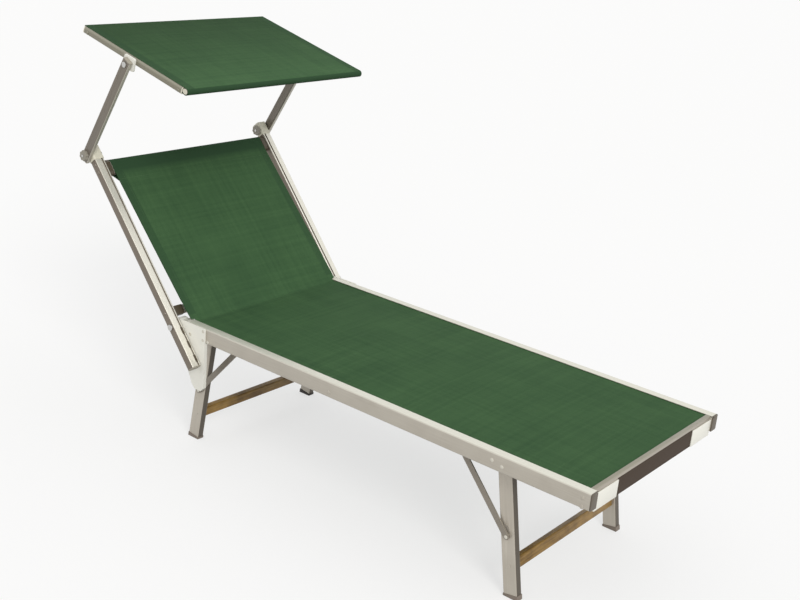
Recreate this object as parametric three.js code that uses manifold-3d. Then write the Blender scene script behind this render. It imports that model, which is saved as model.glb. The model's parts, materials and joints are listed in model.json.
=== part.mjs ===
// Sun lounger with a tilting canopy: anodised aluminium profiles, a woven sling, moulded plastic fittings
// and two folding leg frames, each tied by a varnished wooden crossbar.
// Millimetres, +Z up, +X towards the foot end. The lounger is drawn with x = 0 at the rear ends of its
// seat rails, and is centred at the end of the file. Right is the -Y side, left is the +Y side.

import * as THREE from 'three';
import { mergeVertices } from 'three/addons/utils/BufferGeometryUtils.js';
import Module from 'manifold-3d';

const wasm = await Module();
wasm.setup();

// Overall sizes of the seat frame
const seatWidth = 620;
const seatLength = 1320;
const seatHeight = 390;

// Clearances: between pieces fixed to each other, between pieces that turn, beside the canopy arms, and
// round a shaft
const fitGap = 0.3;
const runGap = 1;
const sideGap = 0.5;
const holeGap = 0.3;
const overrun = 5;

// Side rail profile, with a groove for the sling near the top of its inner face
const railWidth = 26;
const railHeight = 42;
const railWall = 1.8;
const railCorner = 2.5;
const railLip = 2.2;
const grooveHeight = 2.6;
const grooveDepth = 6;

// Foot rail profile, with a front lip and a lower shelf that the end of the sling lies on
const footRailSetback = 8;
const footRailDepth = 28;
const footRailHeight = 50;
const footRailWall = 2;
const footLip = 12;
const footShelfDrop = 4.9;

// Crossbars of the seat frame
const rearBarWidth = 25;
const rearBarHeight = 14;
const rearBarSetback = 9;
const centreBarWidth = 24;
const centreBarHeight = 20;
const centreBarPlace = 540;
const centreBarDrop = 18;
const crossbarWall = 1.6;
const crossbarCorner = 3;

// Cloth
const slingThickness = 1.4;
const slingSetback = 14;
const grooveEndGap = 1;

// White corner caps on the foot rail, and the plugs of the tube ends
const cornerCapLength = 100;
const cornerCapWall = 3;
const cornerCapFrontTop = 10;
const cornerCapBackTop = 18;
const plugPlate = 3;
const plugSpigot = 14;

// Hinge plates, moulded, with a row of rack slots below the rail
const hingeSetback = 10;
const hingeDrop = 18;
const hingeLobe = 20;
const hingePlateSkin = 3.2;
const hingePlateThickness = 10;
const hingePlateLength = 94;
const hingePlateDepth = 188;
const hingePlateFoot = 36;
const hingePlateChamfer = 12;
const hingePlateWrap = THREE.MathUtils.degToRad(216);
const hingeBlockInset = 2;
const rackSlotLength = 20;
const rackSlotWidth = 9;
const rackSlotPitch = 30;
const rackSlots = 4;
const rackStart = 14;
const rackAngle = THREE.MathUtils.degToRad(36);

// Backrest
const backRecline = THREE.MathUtils.degToRad(41);
const backReach = 547;
const backBarOverrun = 19;
const backBarTail = 128;
const backBarWidth = 30;
const backBarDepth = 25;
const backBarWall = 1.8;
const backBarCorner = 3;
const backBarGap = 5;
const backSlingInset = 1.4;
const backSlingStart = 18;
const backSlingProud = 32.9;
const topBarDrop = 48;
const topBarInset = 3;
const topBarDepth = 20;
const topBarHeight = 46;
const topBarWall = 1.6;
const topBracketHeight = 52;
const topBracketDepth = 24;
const topBracketLength = 17;
const lowerBarPlace = 42;
const lowerBarDepth = 15;
const lowerBarHeight = 25;

// Elbows, where the canopy arms are clamped to the backrest
const sleeveLength = 42;
const sleeveWall = 1.7;
const knobRadius = 16;
const knobThickness = 9;
const knobLobes = 8;
const knobLobeDepth = 2.4;
const knobBevel = 1.5;

// Canopy arms
const armLean = THREE.MathUtils.degToRad(30.9);
const armReach = 329;
const armOverrun = 12;
const armTail = 16;
const armWidth = 29;
const armThickness = 13;
const armWall = 1.6;
const armCorner = 3;

// Canopy, whose fabric lies over its side rails and round its front and back bars
const canopyTilt = THREE.MathUtils.degToRad(13.5);
const canopyBack = 210;
const canopyFront = 232;
const canopyClothTop = 26.3;
const canopyClothInset = 1.2;
const canopyRailWidth = 28;
const canopyRailHeight = 19;
const canopyRailBand = 10;
const canopyRailBevel = 3.2;
const canopyRailWall = 1.5;
const canopyRailCorner = 1;
const canopyPlug = 3;
const pivotBlockLength = 44;
const pivotBlockThickness = 5.7;
const pivotBlockDrop = 14;
const pivotBlockRise = 22.5;
const pivotBlockCorner = 5;
const hemBarDepth = 18;
const hemBarHeight = 15;
const hemBarWall = 1.5;
const hemGap = 0.4;

// Leg frames
const legWidth = 40;
const legThickness = 20;
const legWall = 1.6;
const legCorner = 2.5;
const legInset = 64;
const legPivotDrop = 44;
const legOverrun = 10;
const footPlugDepth = 10;
const footPlugRim = 1;
const footLegSetback = 268.5;
const footLegSplay = THREE.MathUtils.degToRad(10.5);
const headLegPlace = 35.7;
const headLegSplay = THREE.MathUtils.degToRad(8.5);
const tieRise = 82;
const tieWidth = 20;
const tieHeight = 30;
const tieCorner = 4;

// Leg brackets under the side rails
const bracketHeight = 21;
const bracketWall = 3;
const bracketInner = 46;
const bracketOuter = 32;

// Braces from the middle of each leg up to the rail
const braceWidth = 16;
const braceThickness = 4;
const braceOverrun = 8;
const braceStandOff = 4;
const footBraceRise = 159;
const footBraceReach = 130.5;
const headBraceRise = 160;
const headBraceReach = 138.3;

// Fasteners: shaft radius, head radius, head thickness
const hingeBolt = { shaft: 5, head: 9, thickness: 4.5 };
const elbowBolt = { shaft: 4, head: 7, thickness: 5, tip: 2 };
const legBolt = { shaft: 4.5, head: 6.5, thickness: 4.5 };
const bracePin = { shaft: 4, head: 7, thickness: 2 };
const canopyBolt = { shaft: 3.2, head: 8, thickness: 3, nut: 5, nutThickness: 4.2 };

// How fine the round shapes are
const arcSegments = 1;
const boltSegments = 14;
const hemSegments = 3;
const stepsPerLobe = 6;

// Places worked out from those sizes
const halfWidth = seatWidth / 2;
const railInner = halfWidth - railWidth;
const hinge = { x: -hingeSetback, z: seatHeight - hingeDrop };
const slingMiddle = seatHeight - railLip - grooveHeight / 2;
const barInner = halfWidth + backBarGap;
const barOuter = barInner + backBarWidth;
const barMiddle = (barInner + barOuter) / 2;
const topBarPlace = backReach - topBarDrop;
const sleeveOuter = barOuter + fitGap + sleeveWall;
const armInner = sleeveOuter + sideGap;
const armOuter = armInner + armThickness;
const armMiddle = (armInner + armOuter) / 2;
const legPivotHeight = seatHeight - legPivotDrop;
const footLegPlace = seatLength - footLegSetback;
const legOuter = halfWidth - legInset;
const legInner = legOuter - legThickness;
const braceInner = legOuter + braceStandOff;
const braceOuter = braceInner + braceThickness;
const blockOuter = armInner - sideGap;
const blockInner = blockOuter - pivotBlockThickness;
const canopyOuter = blockInner - fitGap;
const canopyInner = canopyOuter - canopyRailWidth;
const sides = [
  { name: 'right', sign: -1 },
  { name: 'left', sign: 1 },
];

// Materials
const finish = (color, roughness, metalness) => (
  () => new THREE.MeshStandardMaterial({ color, roughness, metalness }));
const anodised = finish(0xb4aea4, 0.38, 0.7);
const steel = finish(0xc4c2bc, 0.3, 0.9);
const whitePlastic = finish(0xf4f3e8, 0.45, 0);
const creamPlastic = finish(0xe4e0cc, 0.45, 0);
const greyPlastic = finish(0xa29d90, 0.5, 0);
const darkPlastic = finish(0x3b3a2c, 0.55, 0);
const wovenSling = finish(0x40603f, 0.85, 0);
const varnishedWood = finish(0x8a7450, 0.5, 0);

// A point of a leaning member, seen from the side: x to the member's front, z along it
function leaning(origin, lean, x, z) {
  const c = Math.cos(lean);
  const s = Math.sin(lean);
  return { x: origin.x + x * c + z * s, z: origin.z - x * s + z * c };
}

// Outlines

function roundedRect(width, height, corner, centreX = 0, centreY = 0) {
  const x = width / 2;
  const y = height / 2;
  const r = Math.min(corner, x, y);
  const shape = new THREE.Shape();
  shape.absarc(centreX + x - r, centreY + y - r, r, 0, Math.PI / 2, false);
  shape.absarc(centreX - x + r, centreY + y - r, r, Math.PI / 2, Math.PI, false);
  shape.absarc(centreX - x + r, centreY - y + r, r, Math.PI, Math.PI * 1.5, false);
  shape.absarc(centreX + x - r, centreY - y + r, r, Math.PI * 1.5, Math.PI * 2, false);
  return shape;
}

function hollowRect(width, height, corner, wall, centreX = 0, centreY = 0) {
  const shape = roundedRect(width, height, corner, centreX, centreY);
  const inside = Math.max(corner - wall, wall / 2);
  shape.holes.push(roundedRect(width - 2 * wall, height - 2 * wall, inside, centreX, centreY));
  return shape;
}

function outline(points) {
  const corners = points.map(([x, y]) => new THREE.Vector2(x, y));
  return new THREE.Shape(THREE.ShapeUtils.isClockWise(corners) ? corners.reverse() : corners);
}

// Extrusions along each axis. Along X the outline is in (y, z), along Y in (x, z), along Z in (x, y).

function extrude(shape, length, curveSegments = arcSegments) {
  return new THREE.ExtrudeGeometry(shape, { depth: length, bevelEnabled: false, curveSegments });
}

function alongX(shape, from, to) {
  const axes = new THREE.Matrix4().set(0, 0, 1, from, 1, 0, 0, 0, 0, 1, 0, 0, 0, 0, 0, 1);
  return extrude(shape, to - from).applyMatrix4(axes);
}

function alongY(shape, from, to, curveSegments = arcSegments) {
  const high = Math.max(from, to);
  const axes = new THREE.Matrix4().set(1, 0, 0, 0, 0, 0, -1, high, 0, 1, 0, 0, 0, 0, 0, 1);
  return extrude(shape, Math.abs(to - from), curveSegments).applyMatrix4(axes);
}

function alongZ(shape, from, to) {
  return extrude(shape, to - from).translate(0, 0, from);
}

// A round shaft along Y, centred on x and z
function shaft(radius, from, to, x = 0, z = 0, segments = boltSegments) {
  const cylinder = new THREE.CylinderGeometry(radius, radius, Math.abs(to - from), segments);
  return cylinder.translate(x, (from + to) / 2, z);
}

// Boolean cuts and joins of closed meshes

function solidOf(geometry) {
  const bare = new THREE.BufferGeometry();
  bare.setAttribute('position', geometry.getAttribute('position').clone());
  if (geometry.index) bare.setIndex(geometry.index.clone());
  const merged = mergeVertices(bare);
  const mesh = new wasm.Mesh({
    numProp: 3,
    vertProperties: Float32Array.from(merged.attributes.position.array),
    triVerts: Uint32Array.from(merged.index.array),
  });
  return new wasm.Manifold(mesh);
}

function geometryOf(solid) {
  const mesh = solid.getMesh();
  const geometry = new THREE.BufferGeometry();
  geometry.setAttribute('position', new THREE.BufferAttribute(mesh.vertProperties, 3));
  geometry.setIndex(new THREE.BufferAttribute(mesh.triVerts, 1));
  return geometry;
}

function join(...geometries) {
  return geometryOf(geometries.map(solidOf).reduce((whole, next) => whole.add(next)));
}

function cut(geometry, ...tools) {
  return geometryOf(tools.map(solidOf).reduce((whole, next) => whole.subtract(next), solidOf(geometry)));
}

// Groups and meshes

const lounger = new THREE.Group();

function leaningGroup(origin, lean) {
  const group = new THREE.Group();
  group.position.set(origin.x, 0, origin.z);
  group.rotation.y = lean;
  lounger.add(group);
  return group;
}

function add(group, name, geometry, material) {
  geometry.computeVertexNormals();
  const mesh = new THREE.Mesh(geometry, material());
  mesh.name = name;
  group.add(mesh);
}

// Seat side rails, with the sling groove

const railBottom = seatHeight - railHeight;
const grooveTop = seatHeight - railLip;
const grooveBottom = grooveTop - grooveHeight;
const chamberTop = grooveBottom - railWall;
const railEnd = seatLength - plugPlate - fitGap;

function railProfile(sign) {
  const outer = halfWidth;
  const inner = railInner;
  const corner = railCorner;
  const points = [
    [inner, railBottom], [outer - corner, railBottom], [outer, railBottom + corner],
    [outer, seatHeight - corner], [outer - corner, seatHeight], [inner, seatHeight],
    [inner, grooveTop], [inner + grooveDepth, grooveTop],
    [inner + grooveDepth, grooveBottom], [inner, grooveBottom],
  ];
  return outline(points.map(([y, z]) => [sign * y, z]));
}

function railChamber(sign, slack) {
  const inner = railInner + railWall + slack;
  const outer = halfWidth - railWall - slack;
  const low = railBottom + railWall + slack;
  const high = chamberTop - slack;
  return outline([[inner, low], [outer, low], [outer, high], [inner, high]].map(([y, z]) => [sign * y, z]));
}

for (const { name, sign } of sides) {
  const profile = railProfile(sign);
  profile.holes.push(railChamber(sign, 0));
  add(lounger, `seat_rail_${name}`, alongX(profile, 0, railEnd), anodised);
  const plate = alongX(railProfile(sign), railEnd + fitGap, seatLength);
  const spigot = alongX(railChamber(sign, fitGap), railEnd - plugSpigot, railEnd + fitGap + plugPlate / 2);
  add(lounger, `rail_end_plug_${name}`, join(plate, spigot), darkPlastic);
}

// Foot rail, between the side rails: a hollow profile with a front lip above the shelf of the sling

const footRailFront = seatLength - footRailSetback;
const footRailBack = footRailFront - footRailDepth;
const footRailBottom = seatHeight - footRailHeight;
const footShelf = seatHeight - footShelfDrop;
const lipBack = footRailFront - footLip;
const crossHalf = railInner - fitGap;

const footProfile = outline([
  [footRailBack, footRailBottom], [footRailFront - railCorner, footRailBottom],
  [footRailFront, footRailBottom + railCorner], [footRailFront, seatHeight - railCorner],
  [footRailFront - railCorner, seatHeight], [lipBack, seatHeight], [lipBack, footShelf],
  [footRailBack, footShelf],
]);
footProfile.holes.push(outline([
  [footRailBack + footRailWall, footRailBottom + footRailWall],
  [footRailFront - footRailWall, footRailBottom + footRailWall],
  [footRailFront - footRailWall, footShelf - footRailWall],
  [footRailBack + footRailWall, footShelf - footRailWall],
]));
add(lounger, 'foot_rail', alongY(footProfile, -crossHalf, crossHalf), anodised);

// White corner caps, clipped round the front, underside and back of the foot rail

const capFront = footRailFront + fitGap;
const capBack = footRailBack - fitGap;
const capBottom = footRailBottom - fitGap;
const capProfile = outline([
  [capFront, seatHeight - cornerCapFrontTop], [capFront, capBottom], [capBack, capBottom],
  [capBack, seatHeight - cornerCapBackTop], [capBack - cornerCapWall, seatHeight - cornerCapBackTop],
  [capBack - cornerCapWall, capBottom - cornerCapWall], [capFront + cornerCapWall, capBottom - cornerCapWall],
  [capFront + cornerCapWall, seatHeight - cornerCapFrontTop],
]);
for (const { name, sign } of sides) {
  const cap = alongY(capProfile, sign * (crossHalf - cornerCapLength), sign * crossHalf);
  add(lounger, `corner_cap_${name}`, cap, whitePlastic);
}

// Crossbars of the seat frame: the rear one, that the sling bends over, and the centre one

const seatSlingBottom = slingMiddle - slingThickness / 2;
const rearBar = hollowRect(
  rearBarWidth, rearBarHeight, crossbarCorner, crossbarWall,
  rearBarSetback + rearBarWidth / 2, seatSlingBottom - fitGap - rearBarHeight / 2);
add(lounger, 'rear_crossbar', alongY(rearBar, -crossHalf, crossHalf), anodised);
const centreBar = hollowRect(
  centreBarWidth, centreBarHeight, crossbarCorner, crossbarWall,
  centreBarPlace, seatHeight - centreBarDrop - centreBarHeight / 2);
add(lounger, 'centre_crossbar', alongY(centreBar, -crossHalf, crossHalf), anodised);

// Seat sling, with its edges in the grooves of the rails and its end on the shelf of the foot rail

const seatSlingTop = slingMiddle + slingThickness / 2;
const seatSlingEdge = railInner + grooveDepth - grooveEndGap;
const slingSheet = outline([
  [slingSetback, seatSlingBottom], [lipBack - fitGap, seatSlingBottom],
  [lipBack - fitGap, seatSlingTop], [slingSetback, seatSlingTop],
]);
add(lounger, 'seat_sling', alongY(slingSheet, -seatSlingEdge, seatSlingEdge), wovenSling);

// Hinge plates: a skin over the rail, a thicker slotted rack below it and a block behind the rail's end

const plateInner = halfWidth + fitGap;
const plateOuter = plateInner + hingePlateSkin;
const plateBottom = seatHeight - hingePlateDepth;
const plateTop = seatHeight;
const lobeBack = hinge.x - hingeLobe;
const rackTop = railBottom - fitGap;
const footBack = hingePlateLength - hingePlateFoot - hingePlateChamfer;
const plateFoot = [
  [footBack, plateBottom + hingePlateChamfer], [footBack + hingePlateChamfer, plateBottom],
  [hingePlateLength - hingePlateChamfer, plateBottom], [hingePlateLength, plateBottom + hingePlateChamfer],
];

function plateOutline() {
  const shape = new THREE.Shape();
  shape.moveTo(hingePlateLength, plateTop);
  shape.lineTo(hinge.x, plateTop);
  shape.absarc(hinge.x, hinge.z, plateTop - hinge.z, Math.PI / 2, hingePlateWrap, false);
  for (const [x, z] of plateFoot) shape.lineTo(x, z);
  return shape;
}

const rackOutline = outline([[0, rackTop], ...plateFoot, [hingePlateLength, rackTop]]);

function rackSlot(index, from, to) {
  const reach = rackStart + rackSlotPitch * index + rackSlotLength / 2;
  const slot = alongY(roundedRect(rackSlotWidth, rackSlotLength, rackSlotWidth / 2), from, to);
  slot.rotateY(-rackAngle);
  return slot.translate(hinge.x + hingeLobe / 2 + reach * Math.sin(rackAngle), 0,
    hinge.z - reach * Math.cos(rackAngle));
}

for (const { name, sign } of sides) {
  const skin = alongY(plateOutline(), sign * plateInner, sign * plateOuter);
  const rackInner = plateOuter - hingePlateThickness;
  const rack = alongY(rackOutline, sign * rackInner, sign * plateOuter);
  const block = alongY(
    roundedRect(hingeLobe + hingeSetback - fitGap, 2 * (plateTop - hinge.z), hingeLobe / 2,
      (lobeBack - fitGap) / 2, hinge.z),
    sign * (railInner + hingeBlockInset), sign * plateOuter);
  const pivot = shaft(hingeBolt.shaft + holeGap, sign * (railInner - overrun), sign * (plateOuter + overrun),
    hinge.x, hinge.z);
  const slots = Array.from({ length: rackSlots }, (_, i) => (
    rackSlot(i, sign * (rackInner - overrun), sign * (plateOuter + overrun))));
  const keep = shaft(hingeBolt.head, sign * plateInner, sign * plateOuter, hinge.x, hinge.z);
  const slotted = cut(join(skin, rack, block), ...slots);
  add(lounger, `hinge_plate_${name}`, cut(join(slotted, keep), pivot), whitePlastic);
}

// Leg brackets: short lengths of rectangular tube under the rails' inner faces

const bracketPlaces = [
  { name: 'head', place: headLegPlace, inward: 1 },
  { name: 'foot', place: footLegPlace, inward: -1 },
];
const bracketInnerFace = legOuter + runGap;
const bracketOuterFace = railInner - fitGap;
const bracketDepth = bracketOuterFace - bracketInnerFace;

for (const { name: end, place, inward } of bracketPlaces) {
  for (const { name, sign } of sides) {
    const tube = hollowRect(bracketDepth, bracketHeight, railCorner, bracketWall,
      sign * (bracketInnerFace + bracketDepth / 2), legPivotHeight);
    const near = place + inward * bracketInner;
    const far = place - inward * bracketOuter;
    const pivot = shaft(legBolt.shaft + holeGap, sign * (bracketInnerFace - overrun),
      sign * (bracketInnerFace + bracketWall + overrun), place, legPivotHeight);
    const bracket = cut(alongX(tube, Math.min(near, far), Math.max(near, far)), pivot);
    add(lounger, `${end}_leg_bracket_${name}`, bracket, anodised);
  }
}

// Leg pivot bolts, through the legs and the brackets' inner walls

for (const { name: end, place } of bracketPlaces) {
  for (const { name, sign } of sides) {
    const headFace = legInner - fitGap;
    const nutFace = bracketInnerFace + bracketWall + fitGap;
    add(lounger, `${end}_leg_bolt_${name}`, join(
      shaft(legBolt.head, sign * (headFace - legBolt.thickness), sign * headFace, place, legPivotHeight),
      shaft(legBolt.shaft, sign * (headFace - legBolt.thickness / 2),
        sign * (nutFace + legBolt.thickness / 2), place, legPivotHeight),
      shaft(legBolt.head, sign * nutFace, sign * (nutFace + legBolt.thickness),
        place, legPivotHeight)), steel);
  }
}

// Hinge bolts of the backrest, through the side bars and the blocks of the hinge plates

for (const { name, sign } of sides) {
  const headFace = barOuter + fitGap;
  const nutFace = railInner + hingeBlockInset - fitGap;
  add(lounger, `hinge_bolt_${name}`, join(
    shaft(hingeBolt.head, sign * headFace, sign * (headFace + hingeBolt.thickness), hinge.x, hinge.z),
    shaft(hingeBolt.shaft, sign * (nutFace - hingeBolt.thickness / 2),
      sign * (headFace + hingeBolt.thickness / 2), hinge.x, hinge.z),
    shaft(hingeBolt.head, sign * nutFace, sign * (nutFace - hingeBolt.thickness), hinge.x, hinge.z)), steel);
}

// Backrest: z runs up along the side bars from the hinge, x points to their front

const backLean = -backRecline;
const backrest = leaningGroup(hinge, backLean);
const backBarEnd = backReach + backBarOverrun;

for (const { name, sign } of sides) {
  const tube = hollowRect(backBarDepth, backBarWidth, backBarCorner, backBarWall, 0, sign * barMiddle);
  const through = (radius, z) => shaft(radius + holeGap, sign * (barInner - overrun),
    sign * (barOuter + overrun), 0, z);
  const bar = cut(alongZ(tube, -backBarTail, backBarEnd), through(hingeBolt.shaft, 0),
    through(elbowBolt.shaft, backReach));
  add(backrest, `back_bar_${name}`, bar, anodised);
}

// Cream sleeves over the upper ends of the side bars

for (const { name, sign } of sides) {
  const sleeveInner = barInner - fitGap - sleeveWall;
  const sleeveDepth = backBarDepth + 2 * (fitGap + sleeveWall);
  const sleeveWidth = sleeveOuter - sleeveInner;
  const sleeveTop = backBarEnd + fitGap + sleeveWall;
  const sleeveBody = alongZ(
    roundedRect(sleeveDepth, sleeveWidth, backBarCorner + sleeveWall, 0, sign * barMiddle),
    sleeveTop - sleeveLength, sleeveTop);
  const sleeveHollow = alongZ(
    roundedRect(backBarDepth + 2 * fitGap, backBarWidth + 2 * fitGap, backBarCorner, 0, sign * barMiddle),
    sleeveTop - sleeveLength - overrun, backBarEnd + fitGap);
  const boltHole = shaft(elbowBolt.shaft + holeGap, sign * (barInner - overrun),
    sign * (barOuter + overrun), 0, backReach);
  add(backrest, `elbow_sleeve_${name}`, cut(sleeveBody, sleeveHollow, boltHole), creamPlastic);
}

// Top bar of the backrest, a flat oval tube inside the hem of the sling, and its dark end brackets

const topBar = hollowRect(topBarDepth, topBarHeight, topBarDepth / 2, topBarWall, -topBarInset, topBarPlace);
const topBarHalf = barInner - fitGap - topBracketLength - fitGap;
const backSlingHalf = topBarHalf - backSlingInset;
add(backrest, 'back_top_bar', alongY(topBar, -topBarHalf, topBarHalf), anodised);
const topBracket = roundedRect(
  topBracketDepth, topBracketHeight, topBracketDepth / 2, -topBarInset, topBarPlace);
const topBracketEnd = barInner - fitGap;
for (const { name, sign } of sides) {
  const bracket = alongY(topBracket, sign * (topBracketEnd - topBracketLength), sign * topBracketEnd);
  add(backrest, `top_bar_bracket_${name}`, bracket, darkPlastic);
}

// Lower bar of the backrest, behind the sling

const lowerBar = hollowRect(lowerBarDepth, lowerBarHeight, crossbarCorner, crossbarWall, 0, lowerBarPlace);
const lowerBarHalf = barInner - fitGap;
add(backrest, 'back_lower_bar', alongY(lowerBar, -lowerBarHalf, lowerBarHalf), anodised);

// Backrest sling: a taut sheet with a hem round the top bar

const hemDepth = topBarDepth + 2 * (hemGap + slingThickness);
const hemHeight = topBarHeight + 2 * (hemGap + slingThickness);
const hem = roundedRect(hemDepth, hemHeight, hemDepth / 2, -topBarInset, topBarPlace);
const hemInside = topBarDepth + 2 * hemGap;
hem.holes.push(roundedRect(hemInside, topBarHeight + 2 * hemGap, hemInside / 2, -topBarInset, topBarPlace));
const hemFront = hemDepth / 2 - topBarInset;
const hemJoin = topBarPlace - topBarHeight / 2 + topBarDepth / 2;
const backSheet = outline([
  [backSlingProud, backSlingStart], [hemFront, hemJoin],
  [hemFront - slingThickness, hemJoin], [backSlingProud - slingThickness, backSlingStart],
]);
add(backrest, 'backrest_sling', join(
  alongY(hem, -backSlingHalf, backSlingHalf, hemSegments),
  alongY(backSheet, -backSlingHalf, backSlingHalf)), wovenSling);

// Elbow bolts. Both are put in from the same side, so the knobs are outboard on the right elbow and
// inboard on the left one. The other end has a plain head on the right and a tall cap nut on the left.

const sleeveFace = barInner - fitGap - sleeveWall - fitGap;
const armFace = armOuter + fitGap;
const boltReach = armFace + knobThickness + elbowBolt.tip;
const elbowEnds = {
  right: { from: sleeveFace - elbowBolt.thickness, to: boltReach, head: sleeveFace, knob: armFace },
  left: {
    from: boltReach, to: sleeveFace - knobThickness - elbowBolt.tip, head: armFace,
    knob: sleeveFace - knobThickness,
  },
};
for (const { name, sign } of sides) {
  const { from, to, head } = elbowEnds[name];
  add(backrest, `elbow_bolt_${name}`, join(
    shaft(elbowBolt.head, sign * from, sign * head, 0, backReach),
    shaft(elbowBolt.shaft, sign * (from + head) / 2, sign * to, 0, backReach)), steel);
}

// Canopy arms: z runs up along them from the elbow, x points to their front

const elbow = leaning(hinge, backLean, 0, backReach);
const arms = leaningGroup(elbow, armLean);
const armEnd = armReach + armOverrun;

for (const { name, sign } of sides) {
  const tube = hollowRect(armWidth, armThickness, armCorner, armWall, 0, sign * armMiddle);
  const through = (radius, z) => shaft(radius + holeGap, sign * (armInner - overrun),
    sign * (armOuter + overrun), 0, z);
  const arm = cut(alongZ(tube, -armTail, armEnd), through(elbowBolt.shaft, 0),
    through(canopyBolt.shaft, armReach));
  add(arms, `canopy_arm_${name}`, arm, anodised);
}

// Canopy pivot bolts, through the arms and the pivot blocks of the canopy, with their nuts below its rails

for (const { name, sign } of sides) {
  const nutFace = blockInner - fitGap;
  add(arms, `canopy_pivot_bolt_${name}`, join(
    shaft(canopyBolt.head, sign * armFace, sign * (armFace + canopyBolt.thickness), 0, armReach),
    shaft(canopyBolt.shaft, sign * (nutFace - canopyBolt.nutThickness / 2),
      sign * (armFace + canopyBolt.thickness / 2), 0, armReach),
    shaft(canopyBolt.nut, sign * (nutFace - canopyBolt.nutThickness), sign * nutFace, 0, armReach)), steel);
}

// Elbow knobs, with lobed grips

function lobedOutline(radius, depth, lobes) {
  const points = Array.from({ length: lobes * stepsPerLobe }, (_, i) => {
    const angle = (i / (lobes * stepsPerLobe)) * Math.PI * 2;
    const reach = radius - depth * (1 - Math.cos(lobes * angle)) / 2;
    return [reach * Math.cos(angle), reach * Math.sin(angle)];
  });
  return outline(points);
}

for (const { name, sign } of sides) {
  const { knob } = elbowEnds[name];
  const end = knob + knobThickness;
  const rim = alongY(lobedOutline(knobRadius, knobLobeDepth, knobLobes), sign * knob,
    sign * (end - knobBevel));
  const face = alongY(lobedOutline(knobRadius - knobBevel, knobLobeDepth, knobLobes),
    sign * (knob + knobBevel), sign * end);
  const hole = shaft(elbowBolt.shaft + holeGap, sign * (knob - overrun), sign * (end + overrun));
  add(arms, `elbow_knob_${name}`, cut(join(rim, face), hole), greyPlastic);
}

// Canopy: x runs forward along its side rails from the pivot, z points to its upper face. The rails' outer
// faces slope inwards above a flat band, and end behind the hem of the front bar.

const canopyPivot = leaning(elbow, armLean, 0, armReach);
const canopy = leaningGroup(canopyPivot, canopyTilt);
const canopyClothBottom = canopyClothTop - slingThickness;
const canopyTop = canopyClothBottom - fitGap;
const canopyBottom = canopyTop - canopyRailHeight;
const canopyBandTop = canopyBottom + canopyRailBand;
const hemDepthOfBar = hemBarDepth + 2 * (hemGap + slingThickness);
const canopyRailBack = canopyPlug + fitGap - canopyBack;
const canopyRailFront = canopyFront - hemDepthOfBar - fitGap - canopyPlug - fitGap;

function canopyRailOutline(sign, wall) {
  const corner = Math.max(canopyRailCorner - wall, wall / 2);
  const inner = canopyInner + wall;
  const outer = canopyOuter - wall;
  const low = canopyBottom + wall;
  const high = canopyTop - wall;
  const points = [
    [inner, low], [outer - corner, low], [outer, low + corner], [outer, canopyBandTop],
    [outer - canopyRailBevel, high], [inner, high],
  ];
  return outline(points.map(([y, z]) => [sign * y, z]));
}

for (const { name, sign } of sides) {
  const profile = canopyRailOutline(sign, 0);
  profile.holes.push(canopyRailOutline(sign, canopyRailWall));
  add(canopy, `canopy_rail_${name}`, alongX(profile, canopyRailBack, canopyRailFront), anodised);
}

// White pivot blocks on the outer faces of the canopy rails

for (const { name, sign } of sides) {
  const height = pivotBlockRise + pivotBlockDrop;
  const block = alongY(
    roundedRect(pivotBlockLength, height, pivotBlockCorner, 0, pivotBlockRise - height / 2),
    sign * blockInner, sign * blockOuter, hemSegments);
  const pivot = shaft(canopyBolt.shaft + holeGap, sign * (blockInner - overrun),
    sign * (blockOuter + overrun));
  add(canopy, `canopy_pivot_block_${name}`, cut(block, pivot), whitePlastic);
}

// Front and back bars of the canopy, inside the hems of its fabric: the front one in front of the rails'
// ends, the back one between the rails

const hemBarMiddle = canopyClothBottom - hemGap - hemBarHeight / 2;
const hemBarInset = hemDepthOfBar / 2;
const frontBarHalf = canopyOuter - canopyClothInset;
const hems = [
  { name: 'canopy_front_bar', x: canopyFront - hemBarInset, half: frontBarHalf },
  { name: 'canopy_back_bar', x: hemBarInset - canopyBack, half: canopyInner - fitGap },
];
for (const { name, x, half } of hems) {
  const section = hollowRect(hemBarDepth, hemBarHeight, hemBarHeight / 2, hemBarWall, x, hemBarMiddle);
  add(canopy, name, alongY(section, -half, half), anodised);
}

// Canopy fabric: a taut sheet over the rails, with a hem round each bar

const canopySheet = outline([
  [hems[1].x - hemBarInset, canopyClothBottom], [hems[0].x, canopyClothBottom],
  [hems[0].x, canopyClothTop], [hems[1].x - hemBarInset, canopyClothTop],
]);
const canopyHems = hems.map(({ x, half }) => {
  const outerHeight = hemBarHeight + 2 * (hemGap + slingThickness);
  const innerDepth = hemBarDepth + 2 * hemGap;
  const innerHeight = hemBarHeight + 2 * hemGap;
  const ring = roundedRect(hemDepthOfBar, outerHeight, outerHeight / 2, x, hemBarMiddle);
  ring.holes.push(roundedRect(innerDepth, innerHeight, innerHeight / 2, x, hemBarMiddle));
  return alongY(ring, -half, half, hemSegments);
});
const canopyCloth = join(alongY(canopySheet, -frontBarHalf, frontBarHalf), ...canopyHems);
add(canopy, 'canopy_fabric', canopyCloth, wovenSling);

// Leg frames: z runs up along the legs, and the group's origin is the pivot in the leg brackets

const legFrames = [
  {
    end: 'foot', place: footLegPlace, lean: -footLegSplay, rise: footBraceRise,
    braceTop: footLegPlace - footBraceReach,
  },
  {
    end: 'head', place: headLegPlace, lean: headLegSplay, rise: headBraceRise,
    braceTop: headLegPlace + headBraceReach,
  },
];

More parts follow.
